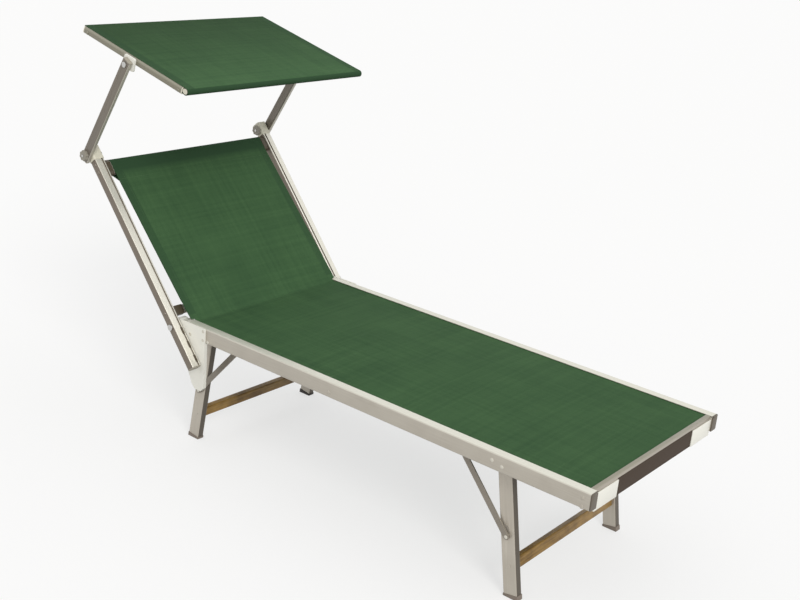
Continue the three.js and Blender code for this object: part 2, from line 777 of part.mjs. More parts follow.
for (const { end, place, lean, rise, braceTop } of legFrames) {
  const pivot = { x: place, z: legPivotHeight };
  const frame = leaningGroup(pivot, lean);
  const down = (height) => (height - legPivotHeight) / Math.cos(lean);
  const floorAt = (x) => down(0) + x * Math.tan(lean);
  const tieMiddle = down(tieRise);
  const braceFoot = down(rise);
  const legEnd = down(0) + footPlugDepth;
  const through = (radius, z, sign) => shaft(radius + holeGap, sign * (legInner - overrun),
    sign * (legOuter + overrun), 0, z);

  for (const { name, sign } of sides) {
    const middle = sign * (legInner + legOuter) / 2;
    const tube = hollowRect(legWidth, legThickness, legCorner, legWall, 0, middle);
    const leg = cut(alongZ(tube, legEnd, legOverrun), through(legBolt.shaft, 0, sign),
      through(bracePin.shaft, braceFoot, sign));
    add(frame, `${end}_leg_${name}`, leg, anodised);
  }

  for (const { name, sign } of sides) {
    const half = legWidth / 2 + footPlugRim;
    const sole = outline([
      [-half, floorAt(-half)], [half, floorAt(half)], [half, legEnd - fitGap], [-half, legEnd - fitGap],
    ]);
    const middle = sign * (legInner + legOuter) / 2;
    const spigot = roundedRect(legWidth - 2 * (legWall + fitGap), legThickness - 2 * (legWall + fitGap),
      legCorner / 2, 0, middle);
    add(frame, `${end}_leg_foot_${name}`, join(
      alongY(sole, sign * (legInner - footPlugRim), sign * (legOuter + footPlugRim)),
      alongZ(spigot, legEnd - 2 * fitGap, legEnd + plugSpigot)), darkPlastic);
  }

  // Wooden crossbar between the legs
  const tieHalf = legInner - fitGap;
  const tie = alongY(roundedRect(tieWidth, tieHeight, tieCorner, 0, tieMiddle), -tieHalf, tieHalf);
  add(frame, `${end}_leg_crossbar`, tie, varnishedWood);

  // Braces: z runs up along them from their pins in the legs
  const braceStart = leaning(pivot, lean, 0, braceFoot);
  const acrossX = braceTop - braceStart.x;
  const acrossZ = legPivotHeight - braceStart.z;
  const braceLength = Math.hypot(acrossX, acrossZ);
  const braceGroup = leaningGroup(braceStart, Math.atan2(acrossX, acrossZ));
  const flat = roundedRect(braceWidth, braceLength + 2 * braceOverrun, braceWidth / 2, 0, braceLength / 2);
  for (const { name, sign } of sides) {
    const pin = (radius, from, to, z) => shaft(radius, sign * from, sign * to, 0, z);
    const tailFace = legInner - fitGap;
    const inside = braceInner + braceThickness / 2;
    add(braceGroup, `${end}_brace_${name}`, join(
      alongY(flat, sign * braceInner, sign * braceOuter),
      pin(bracePin.head, legOuter + fitGap, inside, 0),
      pin(bracePin.shaft, tailFace - bracePin.thickness / 2, inside, 0),
      pin(bracePin.head, tailFace - bracePin.thickness, tailFace, 0),
      pin(bracePin.shaft, inside, railInner - fitGap, braceLength),
      pin(bracePin.head, inside, railInner - bracePin.head, braceLength)), anodised);
  }
}

// The whole lounger is centred over the origin, and stands on z = 0

lounger.updateMatrixWorld(true);
const bounds = new THREE.Box3().setFromObject(lounger, true);
const middle = bounds.getCenter(new THREE.Vector3());
lounger.position.set(-middle.x, -middle.y, -bounds.min.z);

const group = new THREE.Group();
group.add(lounger);

export default group;
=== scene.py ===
# A folding beach lounger with a small tilting canopy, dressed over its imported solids.
# Lengths are in metres. The foot end is at +X, the left side at +Y, and the floor at z = 0.

import json
import math

import bmesh
import bpy
from mathutils import Matrix, Vector

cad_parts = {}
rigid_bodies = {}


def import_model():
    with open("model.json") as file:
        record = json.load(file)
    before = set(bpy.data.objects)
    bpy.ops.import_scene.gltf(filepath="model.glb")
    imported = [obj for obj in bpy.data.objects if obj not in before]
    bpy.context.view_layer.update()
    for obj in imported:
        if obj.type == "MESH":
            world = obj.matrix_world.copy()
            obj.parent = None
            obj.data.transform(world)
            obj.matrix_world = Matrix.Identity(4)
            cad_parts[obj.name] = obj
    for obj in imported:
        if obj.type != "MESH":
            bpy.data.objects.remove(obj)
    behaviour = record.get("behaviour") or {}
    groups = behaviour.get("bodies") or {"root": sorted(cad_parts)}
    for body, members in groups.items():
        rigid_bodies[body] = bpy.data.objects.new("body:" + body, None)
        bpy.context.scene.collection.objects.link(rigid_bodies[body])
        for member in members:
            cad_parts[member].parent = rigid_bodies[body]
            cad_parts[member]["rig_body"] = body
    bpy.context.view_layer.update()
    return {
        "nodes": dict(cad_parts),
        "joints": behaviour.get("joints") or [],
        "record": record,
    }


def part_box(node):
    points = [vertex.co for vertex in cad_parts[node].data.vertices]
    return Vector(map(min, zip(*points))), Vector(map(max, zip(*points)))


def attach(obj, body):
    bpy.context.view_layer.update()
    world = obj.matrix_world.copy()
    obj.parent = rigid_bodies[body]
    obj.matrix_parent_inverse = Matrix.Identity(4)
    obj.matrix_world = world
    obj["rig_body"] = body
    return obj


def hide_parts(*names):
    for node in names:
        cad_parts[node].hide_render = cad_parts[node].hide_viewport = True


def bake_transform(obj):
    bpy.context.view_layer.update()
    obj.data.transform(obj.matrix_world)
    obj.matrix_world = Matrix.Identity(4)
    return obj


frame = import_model()


# Seat side rails, extruded from aluminium, with a groove inside for the edge of the sling. They are satin
# etched and anodised, so they shine softly, with faint lines of the die along their length. The lines are
# drawn 0.9 mm apart, coarser than real ones, so that they show.

RAIL_LENGTHWAYS = (0, math.radians(90), 0)
UPWARDS = (0, 0, 1)
DIE_LINE = 0.0009
DIE_LINE_LENGTH = 0.12
DIE_LINE_DEPTH = 0.0002
HANDLED_PATCH = 0.07
SIDES = (("right", -1), ("left", 1))
SHARP = math.radians(32)
SMOOTH = math.radians(20)
NEARLY_FLAT = math.radians(0.8)
WELD = 1e-5


def linear(colour):
    parts = [int(colour[i : i + 2], 16) / 255 for i in (1, 3, 5)]
    bent = [c / 12.92 if c <= 0.04045 else ((c + 0.055) / 1.055) ** 2.4 for c in parts]
    return (*bent, 1.0)


def node(tree, kind, feeds=None, **settings):
    """Adds one node to a tree. Settings go on the node, and feeds are values or links for its sockets."""
    made = tree.nodes.new(kind)
    for name, value in settings.items():
        setattr(made, name, value)
    for name, value in (feeds or {}).items():
        if isinstance(value, bpy.types.NodeSocket):
            tree.links.new(value, made.inputs[name])
        else:
            made.inputs[name].default_value = value
    return made


def surface(name, colour, roughness, **sockets):
    """A material with one Principled shader, whose even values are set on its own sockets."""
    material = bpy.data.materials.new(name)
    material.use_nodes = True
    tree = material.node_tree
    shader = tree.nodes["Principled BSDF"]
    shader.inputs["Base Color"].default_value = linear(colour)
    shader.inputs["Roughness"].default_value = roughness
    for socket, value in sockets.items():
        shader.inputs[socket.replace("_", " ")].default_value = value
    material.diffuse_color = linear(colour)
    return material, tree, shader


def anodised_aluminium(name, lengthways, painted_light_way, light="#c4beb2", dark="#b3aca0", painted_light_and_shade="#e4e2d5"):
    """Anodised extrusion: satin grey with die lines along it and slightly duller handled patches. The faces
    that look
    the painted light way get a painted tone: painted highlight where it is paler, painted shade where it is
    darker."""
    material, tree, shader = surface(name, light, 0.40, Metallic=0.4)
    place = node(tree, "ShaderNodeTexCoord").outputs["Object"]
    turned = node(tree, "ShaderNodeMapping", {"Vector": place, "Rotation": lengthways})
    drawn = node(tree, "ShaderNodeMapping", {
        "Vector": turned.outputs[0], "Scale": (1, 1, DIE_LINE / DIE_LINE_LENGTH)})
    lines = node(tree, "ShaderNodeTexNoise", {
        "Vector": drawn.outputs[0], "Scale": 1 / DIE_LINE, "Detail": 2.0, "Roughness": 0.6})
    patches = node(tree, "ShaderNodeTexNoise", {
        "Vector": place, "Scale": 1 / HANDLED_PATCH, "Detail": 3.0, "Roughness": 0.55})
    tone = node(tree, "ShaderNodeMath", {0: lines.outputs[0], 1: patches.outputs[0]}, operation="ADD")
    shade = node(tree, "ShaderNodeMapRange", {
        "Value": tone.outputs[0], "From Min": 0.6, "From Max": 1.4})
    mix = node(tree, "ShaderNodeMix", {
        "Factor": shade.outputs[0], 6: linear(dark), 7: linear(light)}, data_type="RGBA")
    # Painted light and shade: the faces that look the painted light way get the painted_light_and_shade
    # tone.
    facing = node(tree, "ShaderNodeTexCoord").outputs["Normal"]
    turn = node(tree, "ShaderNodeVectorMath", {0: facing, 1: painted_light_way}, operation="DOT_PRODUCT")
    painted_light_share = node(tree, "ShaderNodeMapRange", {
        "Value": turn.outputs["Value"], "From Min": 0.45, "From Max": 0.95})
    toned = node(tree, "ShaderNodeMix", {
        "Factor": painted_light_share.outputs[0], 6: mix.outputs[2], 7: linear(painted_light_and_shade)}, data_type="RGBA")
    tree.links.new(toned.outputs[2], shader.inputs["Base Color"])
    satin = node(tree, "ShaderNodeMapRange", {
        "Value": patches.outputs[0], "From Min": 0.3, "From Max": 0.7, "To Min": 0.34, "To Max": 0.46})
    tree.links.new(satin.outputs[0], shader.inputs["Roughness"])
    bump = node(tree, "ShaderNodeBump", {
        "Height": lines.outputs[0], "Strength": 0.12, "Distance": DIE_LINE_DEPTH})
    tree.links.new(bump.outputs[0], shader.inputs["Normal"])
    return material


def dressed(name, mesh, material, body, slot, *solids):
    """Makes a mesh a piece of the lounger that rides on a body, in place of the solids it stands for."""
    work = bmesh.new()
    work.from_mesh(mesh)
    for edge in work.edges:
        edge.smooth = len(edge.link_faces) == 2 and edge.calc_face_angle(0) < SMOOTH
    for face in work.faces:
        face.smooth = True
    work.to_mesh(mesh)
    work.free()
    mesh.materials.clear()
    mesh.materials.append(material)
    piece = bpy.data.objects.new(name, mesh)
    bpy.context.scene.collection.objects.link(piece)
    if body:
        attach(piece, body)
    if solids:
        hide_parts(*solids)
    return piece


SLOT_OF = {part["node"]: part["material_slot"] for part in frame["record"]["subparts"]}


def softened(solid, material, radius, segments=3):
    """A copy of a solid with its corners rounded, as the real piece's are, in the solid's place."""
    mesh = bpy.data.meshes.new(solid + "_rounded")
    work = bmesh.new()
    work.from_mesh(frame["nodes"][solid].data)
    bmesh.ops.remove_doubles(work, verts=work.verts, dist=WELD)
    bmesh.ops.dissolve_limit(work, angle_limit=NEARLY_FLAT, verts=work.verts, edges=work.edges)
    corners = [e for e in work.edges if len(e.link_faces) == 2 and e.calc_face_angle(0) > SHARP]
    bmesh.ops.bevel(work, geom=corners, offset=radius, segments=segments, profile=0.5,
                    affect="EDGES", clamp_overlap=True)
    work.to_mesh(mesh)
    work.free()
    body = frame["nodes"][solid]["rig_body"]
    return dressed(solid + "_rounded", mesh, material, body, SLOT_OF[solid], solid)


# The rails' tops are painted paler: painted highlight.
rail_metal = anodised_aluminium("anodised_rail", RAIL_LENGTHWAYS, UPWARDS)
for side, _ in SIDES:
    softened("seat_rail_" + side, rail_metal, radius=0.0008)


# Dark moulded plugs close the rails' foot ends. They are injection-moulded nylon, coloured right through,
# with a fine spark-eroded texture that scatters the light. It is drawn at 0.6 mm, coarser than the real
# one, so that it shows.

MOULD_TEXTURE = 0.0006
MOULD_TEXTURE_DEPTH = 0.0002
MELT_CLOUD = 0.045
DULL_SPOTS = 0.07


def moulded(name, colour, roughness=0.48, mottle=0.06, grain=MOULD_TEXTURE, gloss=0.5):
    """Moulded thermoplastic: even in colour, dull in fine spots, with a faint cloudiness of the melt."""
    material, tree, shader = surface(name, colour, roughness, Specular_IOR_Level=gloss)
    shader.inputs["IOR"].default_value = 1.5
    place = node(tree, "ShaderNodeTexCoord").outputs["Object"]
    fine = node(tree, "ShaderNodeTexNoise", {"Vector": place, "Scale": 1 / grain, "Detail": 2.0})
    cloud = node(tree, "ShaderNodeTexNoise", {"Vector": place, "Scale": 1 / MELT_CLOUD, "Detail": 3.0})
    red, green, blue, _ = linear(colour)
    deeper = (red * (1 - 2 * mottle), green * (1 - 2.2 * mottle), blue * (1 - 2.6 * mottle), 1)
    mix = node(tree, "ShaderNodeMix", {
        "Factor": cloud.outputs[0], 6: linear(colour), 7: deeper}, data_type="RGBA")
    tree.links.new(mix.outputs[2], shader.inputs["Base Color"])
    dull = node(tree, "ShaderNodeMapRange", {
        "Value": fine.outputs[0], "To Min": roughness - DULL_SPOTS, "To Max": roughness + DULL_SPOTS})
    tree.links.new(dull.outputs[0], shader.inputs["Roughness"])
    bump = node(tree, "ShaderNodeBump", {
        "Height": fine.outputs[0], "Strength": 0.15, "Distance": MOULD_TEXTURE_DEPTH})
    tree.links.new(bump.outputs[0], shader.inputs["Normal"])
    return material


brown_nylon = moulded("moulded_brown_nylon", "#544b3c")
plug_nylon = moulded("moulded_taupe_nylon", "#665d50")
for side, _ in SIDES:
    softened("rail_end_plug_" + side, plug_nylon, radius=0.0006)


# Foot rail and crossbars, extruded and cut to length between the side rails. The foot rail has a lip that
# covers the end of the sling, and a brown strip along its front and turned in below it is painted shade.

BAR_LENGTHWAYS = (math.radians(90), 0, 0)
STRIP_TOP = 0.3825
STRIP_BOTTOM = 0.3367
STRIP_PROUD = 0.0012
STRIP_TURN = 0.008
STRIP_END_GAP = 0.0004
# The strip's long edges are rounded by points: shares of how proud it stands, and distances from the edge.
STRIP_LOW_EDGE = ((0.4, 0.0), (1.0, 0.001))
STRIP_HIGH_EDGE = ((1.0, 0.004), (0.7, 0.0008), (0.0, 0.0))
GLUE = 0.0001

# The crossbars' tops are painted paler: painted highlight.
crossbar_metal = anodised_aluminium("anodised_crossbar", BAR_LENGTHWAYS, UPWARDS)
# The foot rail's top is painted darker than its sides: painted shade.
foot_metal = anodised_aluminium("anodised_foot_rail", BAR_LENGTHWAYS, UPWARDS,
                                light="#b6b0a4", dark="#a69f93", painted_light_and_shade="#9a9686")
softened("foot_rail", foot_metal, radius=0.0008)
for bar in ("rear_crossbar", "centre_crossbar"):
    softened(bar, crossbar_metal, radius=0.0008)


def extruded(name, outline, to_place, length, material, body, slot, *solids):
    """A piece of one outline, given as points across it, from 0 to a length along z, then put in place."""
    mesh = bpy.data.meshes.new(name)
    work = bmesh.new()
    rings = [[work.verts.new(to_place @ Vector((x, y, z))) for x, y in outline] for z in (0, length)]
    work.faces.new(list(reversed(rings[0])))
    work.faces.new(rings[1])
    count = len(outline)
    for i in range(count):
        j = (i + 1) % count
        work.faces.new((rings[0][i], rings[0][j], rings[1][j], rings[1][i]))
    bmesh.ops.recalc_face_normals(work, faces=work.faces)
    work.to_mesh(mesh)
    work.free()
    return dressed(name, mesh, material, body, slot, *solids)


foot_low, foot_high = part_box("foot_rail")
strip_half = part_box("corner_cap_left")[0].y - STRIP_END_GAP
strip_outline = [(-STRIP_TURN, STRIP_BOTTOM)]
strip_outline += [(STRIP_PROUD * share, STRIP_BOTTOM + up) for share, up in STRIP_LOW_EDGE]
strip_outline += [(STRIP_PROUD * share, STRIP_TOP - down) for share, down in STRIP_HIGH_EDGE]
strip_outline += [(x, foot_low.z - 2 * GLUE) for x in (0.0, -STRIP_TURN)]
across = Matrix(((1, 0, 0, foot_high.x + GLUE), (0, 0, 1, -strip_half), (0, 1, 0, 0), (0, 0, 0, 1)))
# The brown strip is painted shade on the foot rail's front.
painted_shade_strip = moulded("brown_strip_painted_shade", "#403225", roughness=0.55, gloss=0.2)
extruded("foot_rail_strip", strip_outline, across, 2 * strip_half, painted_shade_strip,
         "seat_frame", "dark_plastic")


# White corner caps, moulded in nylon, clipped round the two ends of the foot rail. They hide the cut ends
# of its profile beside the side rails.

white_nylon = moulded("moulded_white_nylon", "#f6f5ec", mottle=0.02)
for side, _ in SIDES:
    softened("corner_cap_" + side, white_nylon, radius=0.0009)


# Hinge plates, moulded in the same white nylon, screwed to the rear of the rails. Their slots give the
# places in which the backrest can be caught.

for side, _ in SIDES:
    softened("hinge_plate_" + side, white_nylon, radius=0.0007, segments=2)


# Leg brackets, short lengths of thick rectangular tube, riveted inside the rails over the tops of the legs.
# They are anodised like the rails, and the bolts on which the legs fold go through their inner walls.

for end in ("head", "foot"):
    for side, _ in SIDES:
        softened(f"{end}_leg_bracket_{side}", rail_metal, radius=0.0005)


# Leg frames: two flat-oval tubes in line with the legs' splay, with moulded feet pressed into their ends.
# The feet are taupe like the anodising; the one under the head's left leg is painted black, as painted
# shade.

PIVOT = {joint["name"]: Vector(joint["pos_m"]) for joint in frame["joints"]}
LEG_LEAN = {"foot": -10.5, "head": 8.5}
taupe_foot = moulded("moulded_taupe_foot", "#857a70", roughness=0.55)
painted_shade_foot = moulded("moulded_black_painted_shade_foot", "#2f2923", roughness=0.55)
leg_metal = {}


def leaning_ways(degrees):
    """The turn that stands a leaning bar upright, for its die lines, and the way that its front looks, for
    the painted tone.
    """
    turn = math.radians(degrees)
    return (0, -turn, 0), (math.cos(turn), 0, -math.sin(turn))


for end, lean in LEG_LEAN.items():
    # The legs' fronts are painted dark: painted shade.
    leg_metal[end] = anodised_aluminium(f"anodised_{end}_leg", *leaning_ways(lean),
                                        light="#cbc4b8", dark="#b9b1a4", painted_light_and_shade="#5a5247")
    for side, _ in SIDES:
        softened(f"{end}_leg_{side}", leg_metal[end], radius=0.0009)
        # The head's left foot is painted black: painted shade.
        foot_nylon = painted_shade_foot if (end, side) == ("head", "left") else taupe_foot
        softened(f"{end}_leg_foot_{side}", foot_nylon, radius=0.0012)


# Wooden crossbars between the legs, planed beech with rounded corners under a clear varnish. The grain runs
# along the bar, and the varnish has darkened it unevenly.

GRAIN_WIDTH = 0.0035
GRAIN_LENGTH = 0.09
GRAIN_DEPTH = 0.0003
GRAIN_WANDER = 0.05
FLECK = 0.0016


def varnished_beech(name, pale="#a48246", deep="#61471f"):
    """Varnished beech: long brown grain and short dark flecks below a thin clear coat."""
    material, tree, shader = surface(name, pale, 0.45, Coat_Weight=0.15,
                                     Coat_Roughness=0.18, Specular_IOR_Level=0.3)
    place = node(tree, "ShaderNodeTexCoord").outputs["Object"]
    drawn = node(tree, "ShaderNodeMapping", {
        "Vector": place, "Scale": (1, GRAIN_WIDTH / GRAIN_LENGTH, 1)})
    wander = node(tree, "ShaderNodeTexNoise", {"Vector": place, "Scale": 1 / GRAIN_WANDER, "Detail": 2.0})
    grain = node(tree, "ShaderNodeTexNoise", {
        "Vector": drawn.outputs[0], "Scale": 1 / GRAIN_WIDTH, "Detail": 5.0, "Roughness": 0.62,
        "Distortion": 0.6})
    flecks = node(tree, "ShaderNodeTexVoronoi", {
        "Vector": drawn.outputs[0], "Scale": 1 / FLECK, "Randomness": 1.0})
    both = node(tree, "ShaderNodeMath", {0: grain.outputs[0], 1: wander.outputs[0]}, operation="ADD")
    tone = node(tree, "ShaderNodeMapRange", {
        "Value": both.outputs[0], "From Min": 0.7, "From Max": 1.3})
    mix = node(tree, "ShaderNodeMix", {
        "Factor": tone.outputs[0], 6: linear(deep), 7: linear(pale)}, data_type="RGBA")
    fleck = node(tree, "ShaderNodeMapRange", {
        "Value": flecks.outputs["Distance"], "From Min": 0.05, "From Max": 0.3, "To Min": 0.72})
    dark = node(tree, "ShaderNodeMix", {
        "Factor": fleck.outputs[0], 6: linear(deep), 7: mix.outputs[2]}, data_type="RGBA")
    tree.links.new(dark.outputs[2], shader.inputs["Base Color"])
    bump = node(tree, "ShaderNodeBump", {
        "Height": grain.outputs[0], "Strength": 0.1, "Distance": GRAIN_DEPTH})
    tree.links.new(bump.outputs[0], shader.inputs["Normal"])
    return material


beech = varnished_beech("varnished_beech")
for end in LEG_LEAN:
    softened(f"{end}_leg_crossbar", beech, radius=0.0015)


# Braces, punched from flat aluminium bar, pinned to the middle of each leg and running up to the rail. They
# stay the legs when these are open and fold beside them, and each carries its two pins.

BRACE_LENGTHWAYS = (0, math.radians(-45), 0)

# The braces' tops are painted paler: painted highlight.
brace_metal = anodised_aluminium("punched_aluminium_bar", BRACE_LENGTHWAYS, UPWARDS,
                                 light="#989085", dark="#878075", painted_light_and_shade="#aca599")
for end in LEG_LEAN:
    for side, _ in SIDES:
        softened(f"{end}_brace_{side}", brace_metal, radius=0.0006, segments=2)


# Side bars of the backrest, extruded with a narrow open groove down the inner part of their front face.
# They run on below the hinge, where they catch in the slotted plates, and nylon plugs close their ends.

RECLINE = -41
BAR_WIDTH, BAR_DEPTH, BAR_INNER = 0.030, 0.025, 0.315
BAR_TAIL, BAR_END = 0.128, 0.566
BAR_CORNER = 0.0028
GROOVE_WIDTH, GROOVE_DEPTH, GROOVE_INSET = 0.0056, 0.0050, 0.0050
PLUG, PLUG_INSET = 0.0025, 0.0004


def leaning(pivot, degrees):
    return Matrix.Translation(PIVOT[pivot]) @ Matrix.Rotation(math.radians(degrees), 4, "Y")


def rounded_outline(width, depth, corner, centre_y, steps=4):
    """Points round a rectangle with round corners, x across its depth and y across its width."""
    points = []
    for sx, sy, start in ((1, 1, 0), (-1, 1, 90), (-1, -1, 180), (1, -1, 270)):
        for i in range(steps + 1):
            angle = math.radians(start + 90 * i / steps)
            points.append((sx * (depth / 2 - corner) + corner * math.cos(angle),
                           centre_y + sy * (width / 2 - corner) + corner * math.sin(angle)))
    return points


def grooved_outline(sign):
    """The bar's outline, with the groove cut into the front face near its inner edge."""
    middle = sign * (BAR_INNER + BAR_WIDTH / 2)
    points = rounded_outline(BAR_WIDTH, BAR_DEPTH, BAR_CORNER, middle)
    near = sign * (BAR_INNER + GROOVE_INSET)
    far = sign * (BAR_INNER + GROOVE_INSET + GROOVE_WIDTH)
    front = BAR_DEPTH / 2
    low, high = sorted((near, far))
    groove = [(front, low), (front - GROOVE_DEPTH, low), (front - GROOVE_DEPTH, high), (front, high)]
    return points + groove


back_lean = leaning("backrest_recline", RECLINE)
# The bars are painted dark, as painted shade on their sides, with fronts painted pale, as painted
# highlight.
bar_metal = anodised_aluminium("anodised_back_bar", *leaning_ways(RECLINE),
                               light="#877d71", dark="#766c61", painted_light_and_shade="#e9e6da")
grey_nylon = moulded("moulded_grey_nylon", "#a8a294")
for side, sign in SIDES:
    start = back_lean @ Matrix.Translation((0, 0, -BAR_TAIL))
    extruded(f"back_bar_{side}_grooved", grooved_outline(sign), start, BAR_TAIL + BAR_END, bar_metal,
             "backrest", "aluminium_profile", "back_bar_" + side)
    plug_outline = rounded_outline(BAR_WIDTH - PLUG_INSET, BAR_DEPTH - PLUG_INSET, BAR_CORNER,
                                   sign * (BAR_INNER + BAR_WIDTH / 2))
    foot = back_lean @ Matrix.Translation((0, 0, -BAR_TAIL - PLUG))
    extruded("back_bar_plug_" + side, plug_outline, foot, PLUG, grey_nylon, "backrest", "grey_plastic")


# Cream sleeves moulded over the bars' top ends, and brown brackets that hold the top bar between them. The
# top bar and the lower one are extruded and anodised like the crossbars.

cream_nylon = moulded("moulded_cream_nylon", "#e6e2d0", mottle=0.03)
for side, _ in SIDES:
    softened("elbow_sleeve_" + side, cream_nylon, radius=0.0012)
    softened("top_bar_bracket_" + side, brown_nylon, radius=0.0012)
for bar in ("back_top_bar", "back_lower_bar"):
    softened(bar, crossbar_metal, radius=0.0006)


# Sockets of the lower bar, moulded in the same brown nylon, each a short sleeve round the bar's end. The
# brown catches in slots down the bars' tails are painted shade: dark blocks where the slots' shade falls.

LOWER_BAR = 0.042
SOCKET_INNER, SOCKET_OUTER = 0.284, 0.3146
SOCKET_HALF_DEPTH, SOCKET_HALF_HEIGHT, SOCKET_CORNER = 0.0087, 0.0137, 0.002
CATCH_WIDTH, CATCH_LENGTH, CATCH_CORNER = 0.0074, 0.022, 0.0036
CATCH_SUNK, CATCH_PROUD = 0.001, 0.0006
CATCH_PLACES = (-0.020, -0.063, -0.106)

for side, sign in SIDES:
    outline = rounded_outline(2 * SOCKET_HALF_HEIGHT, 2 * SOCKET_HALF_DEPTH, SOCKET_CORNER, 0)
    turn = Matrix(((1, 0, 0, 0), (0, 0, sign, sign * SOCKET_INNER), (0, 1, 0, LOWER_BAR), (0, 0, 0, 1)))
    extruded("lower_bar_socket_" + side, outline, back_lean @ turn, SOCKET_OUTER - SOCKET_INNER,
             brown_nylon, "backrest", "dark_plastic")
    middle = sign * (BAR_INNER + GROOVE_INSET + GROOVE_WIDTH / 2)
    # The catches are painted shade in the slots.
    for number, place in enumerate(CATCH_PLACES, 1):
        outline = rounded_outline(CATCH_LENGTH, CATCH_WIDTH, CATCH_CORNER, place)
        sunk_face = BAR_DEPTH / 2 - CATCH_SUNK
        face = Matrix(((0, 0, 1, sunk_face), (1, 0, 0, middle), (0, 1, 0, 0), (0, 0, 0, 1)))
        extruded(f"backrest_catch_{number}_{side}", outline, back_lean @ face, CATCH_SUNK + CATCH_PROUD,
                 brown_nylon, "backrest", "dark_plastic")


# The sling, one length of woven polyester coated in green vinyl. Its edges run in the rails' grooves, it
# bends up at the rear crossbar, and its top is sewn round the top bar of the backrest.

THREAD, THREAD_DEPTH = 0.0024, 0.0004
STREAK, STREAK_LENGTH = 0.011, 0.5
BLOTCH = 0.16
TONE_RUN_START, TONE_RUN_END = 0.05, 0.46
CLOTH = 0.001
SEAT_HALF, BACK_HALF = 0.2884, 0.2960
SEAT_LEVEL = 0.3865
HEM_WIDTH = 0.026
HEM_LINE = 0.004
# Doubled hems are drawn darker, partly as painted shade along the cloth's edges.
SIDE_HEM_TONE = 0.6
SEAT_SAG, BACK_SAG = 0.0055, 0.0035
BACK_SAG_START, BACK_SAG_LENGTH = 0.045, 0.45
RIPPLE, RIPPLE_LENGTH, RIPPLE_SLANT, RIPPLE_ACROSS = 0.0006, 0.17, 2.5, 7
RAIL_CLEAR, RAIL_TOP_CLEAR = 0.2834, 0.3915


def woven_vinyl(name, light="#496945", dark="#3b583b", hem="#344e36", tone_along_length=(1, 1)):
    """Vinyl-coated basket weave: two thread directions, thicker and thinner threads, darker doubled hems
    whose dark is partly painted shade along the edges. The threads are drawn 2.4 mm wide, coarser than real
    ones, so that they show. The cloth's brightness is scaled along its length: tone_along_length gives the
    scale at the start and at the end."""
    material, tree, shader = surface(name, light, 0.75, Specular_IOR_Level=0.05)
    flat = node(tree, "ShaderNodeUVMap", uv_map="cut").outputs[0]
    split = node(tree, "ShaderNodeSeparateXYZ", {0: flat})
    ribs = []
    for axis in ("X", "Y"):
        turn = node(tree, "ShaderNodeMath", {0: split.outputs[axis], 1: math.pi / THREAD},
                    operation="MULTIPLY")
        wave = node(tree, "ShaderNodeMath", {0: turn.outputs[0]}, operation="SINE")
        rib = node(tree, "ShaderNodeMath", {0: wave.outputs[0]}, operation="ABSOLUTE")
        ribs.append(rib.outputs[0])
    over = node(tree, "ShaderNodeTexChecker", {"Vector": flat, "Scale": 1 / THREAD})
    height = node(tree, "ShaderNodeMix", {"Factor": over.outputs["Fac"], 2: ribs[0], 3: ribs[1]})
    bands = []
    for stretch in ((1, STREAK / STREAK_LENGTH, 1), (STREAK / STREAK_LENGTH, 1, 1)):
        drawn = node(tree, "ShaderNodeMapping", {"Vector": flat, "Scale": stretch})
        band = node(tree, "ShaderNodeTexNoise", {
            "Vector": drawn.outputs[0], "Scale": 1 / STREAK, "Detail": 3.0})
        bands.append(band.outputs[0])
    both = node(tree, "ShaderNodeMath", {0: bands[0], 1: bands[1]}, operation="ADD")
    blotch = node(tree, "ShaderNodeTexNoise", {"Vector": flat, "Scale": 1 / BLOTCH, "Detail": 2.0})
    uneven = node(tree, "ShaderNodeMath", {0: both.outputs[0], 1: blotch.outputs[0]}, operation="ADD")
    tone = node(tree, "ShaderNodeMapRange", {
        "Value": uneven.outputs[0], "From Min": 1.0, "From Max": 2.0})
    cloth = node(tree, "ShaderNodeMix", {
        "Factor": tone.outputs[0], 6: linear(dark), 7: linear(light)}, data_type="RGBA")
    gaps = node(tree, "ShaderNodeMapRange", {
        "Value": height.outputs[0], "From Min": 0.1, "From Max": 0.75, "To Min": 0.6, "To Max": 1.08})
    threads = node(tree, "ShaderNodeVectorMath", {0: cloth.outputs[2], "Scale": gaps.outputs[0]},
                   operation="SCALE")
    length_scale = node(tree, "ShaderNodeMapRange", {
        "Value": split.outputs["Y"], "From Min": TONE_RUN_START, "From Max": TONE_RUN_END,
        "To Min": tone_along_length[0], "To Max": tone_along_length[1]})
    length_scaled = node(tree, "ShaderNodeVectorMath", {0: threads.outputs[0], "Scale": length_scale.outputs[0]},
                 operation="SCALE")
    doubled = node(tree, "ShaderNodeAttribute", attribute_name="hem")
    edges = node(tree, "ShaderNodeMix", {
        "Factor": doubled.outputs["Fac"], 6: length_scaled.outputs[0], 7: linear(hem)}, data_type="RGBA")
    tree.links.new(edges.outputs[2], shader.inputs["Base Color"])
    bump = node(tree, "ShaderNodeBump", {
        "Height": height.outputs[0], "Strength": 0.35, "Distance": THREAD_DEPTH})
    tree.links.new(bump.outputs[0], shader.inputs["Normal"])
    return material


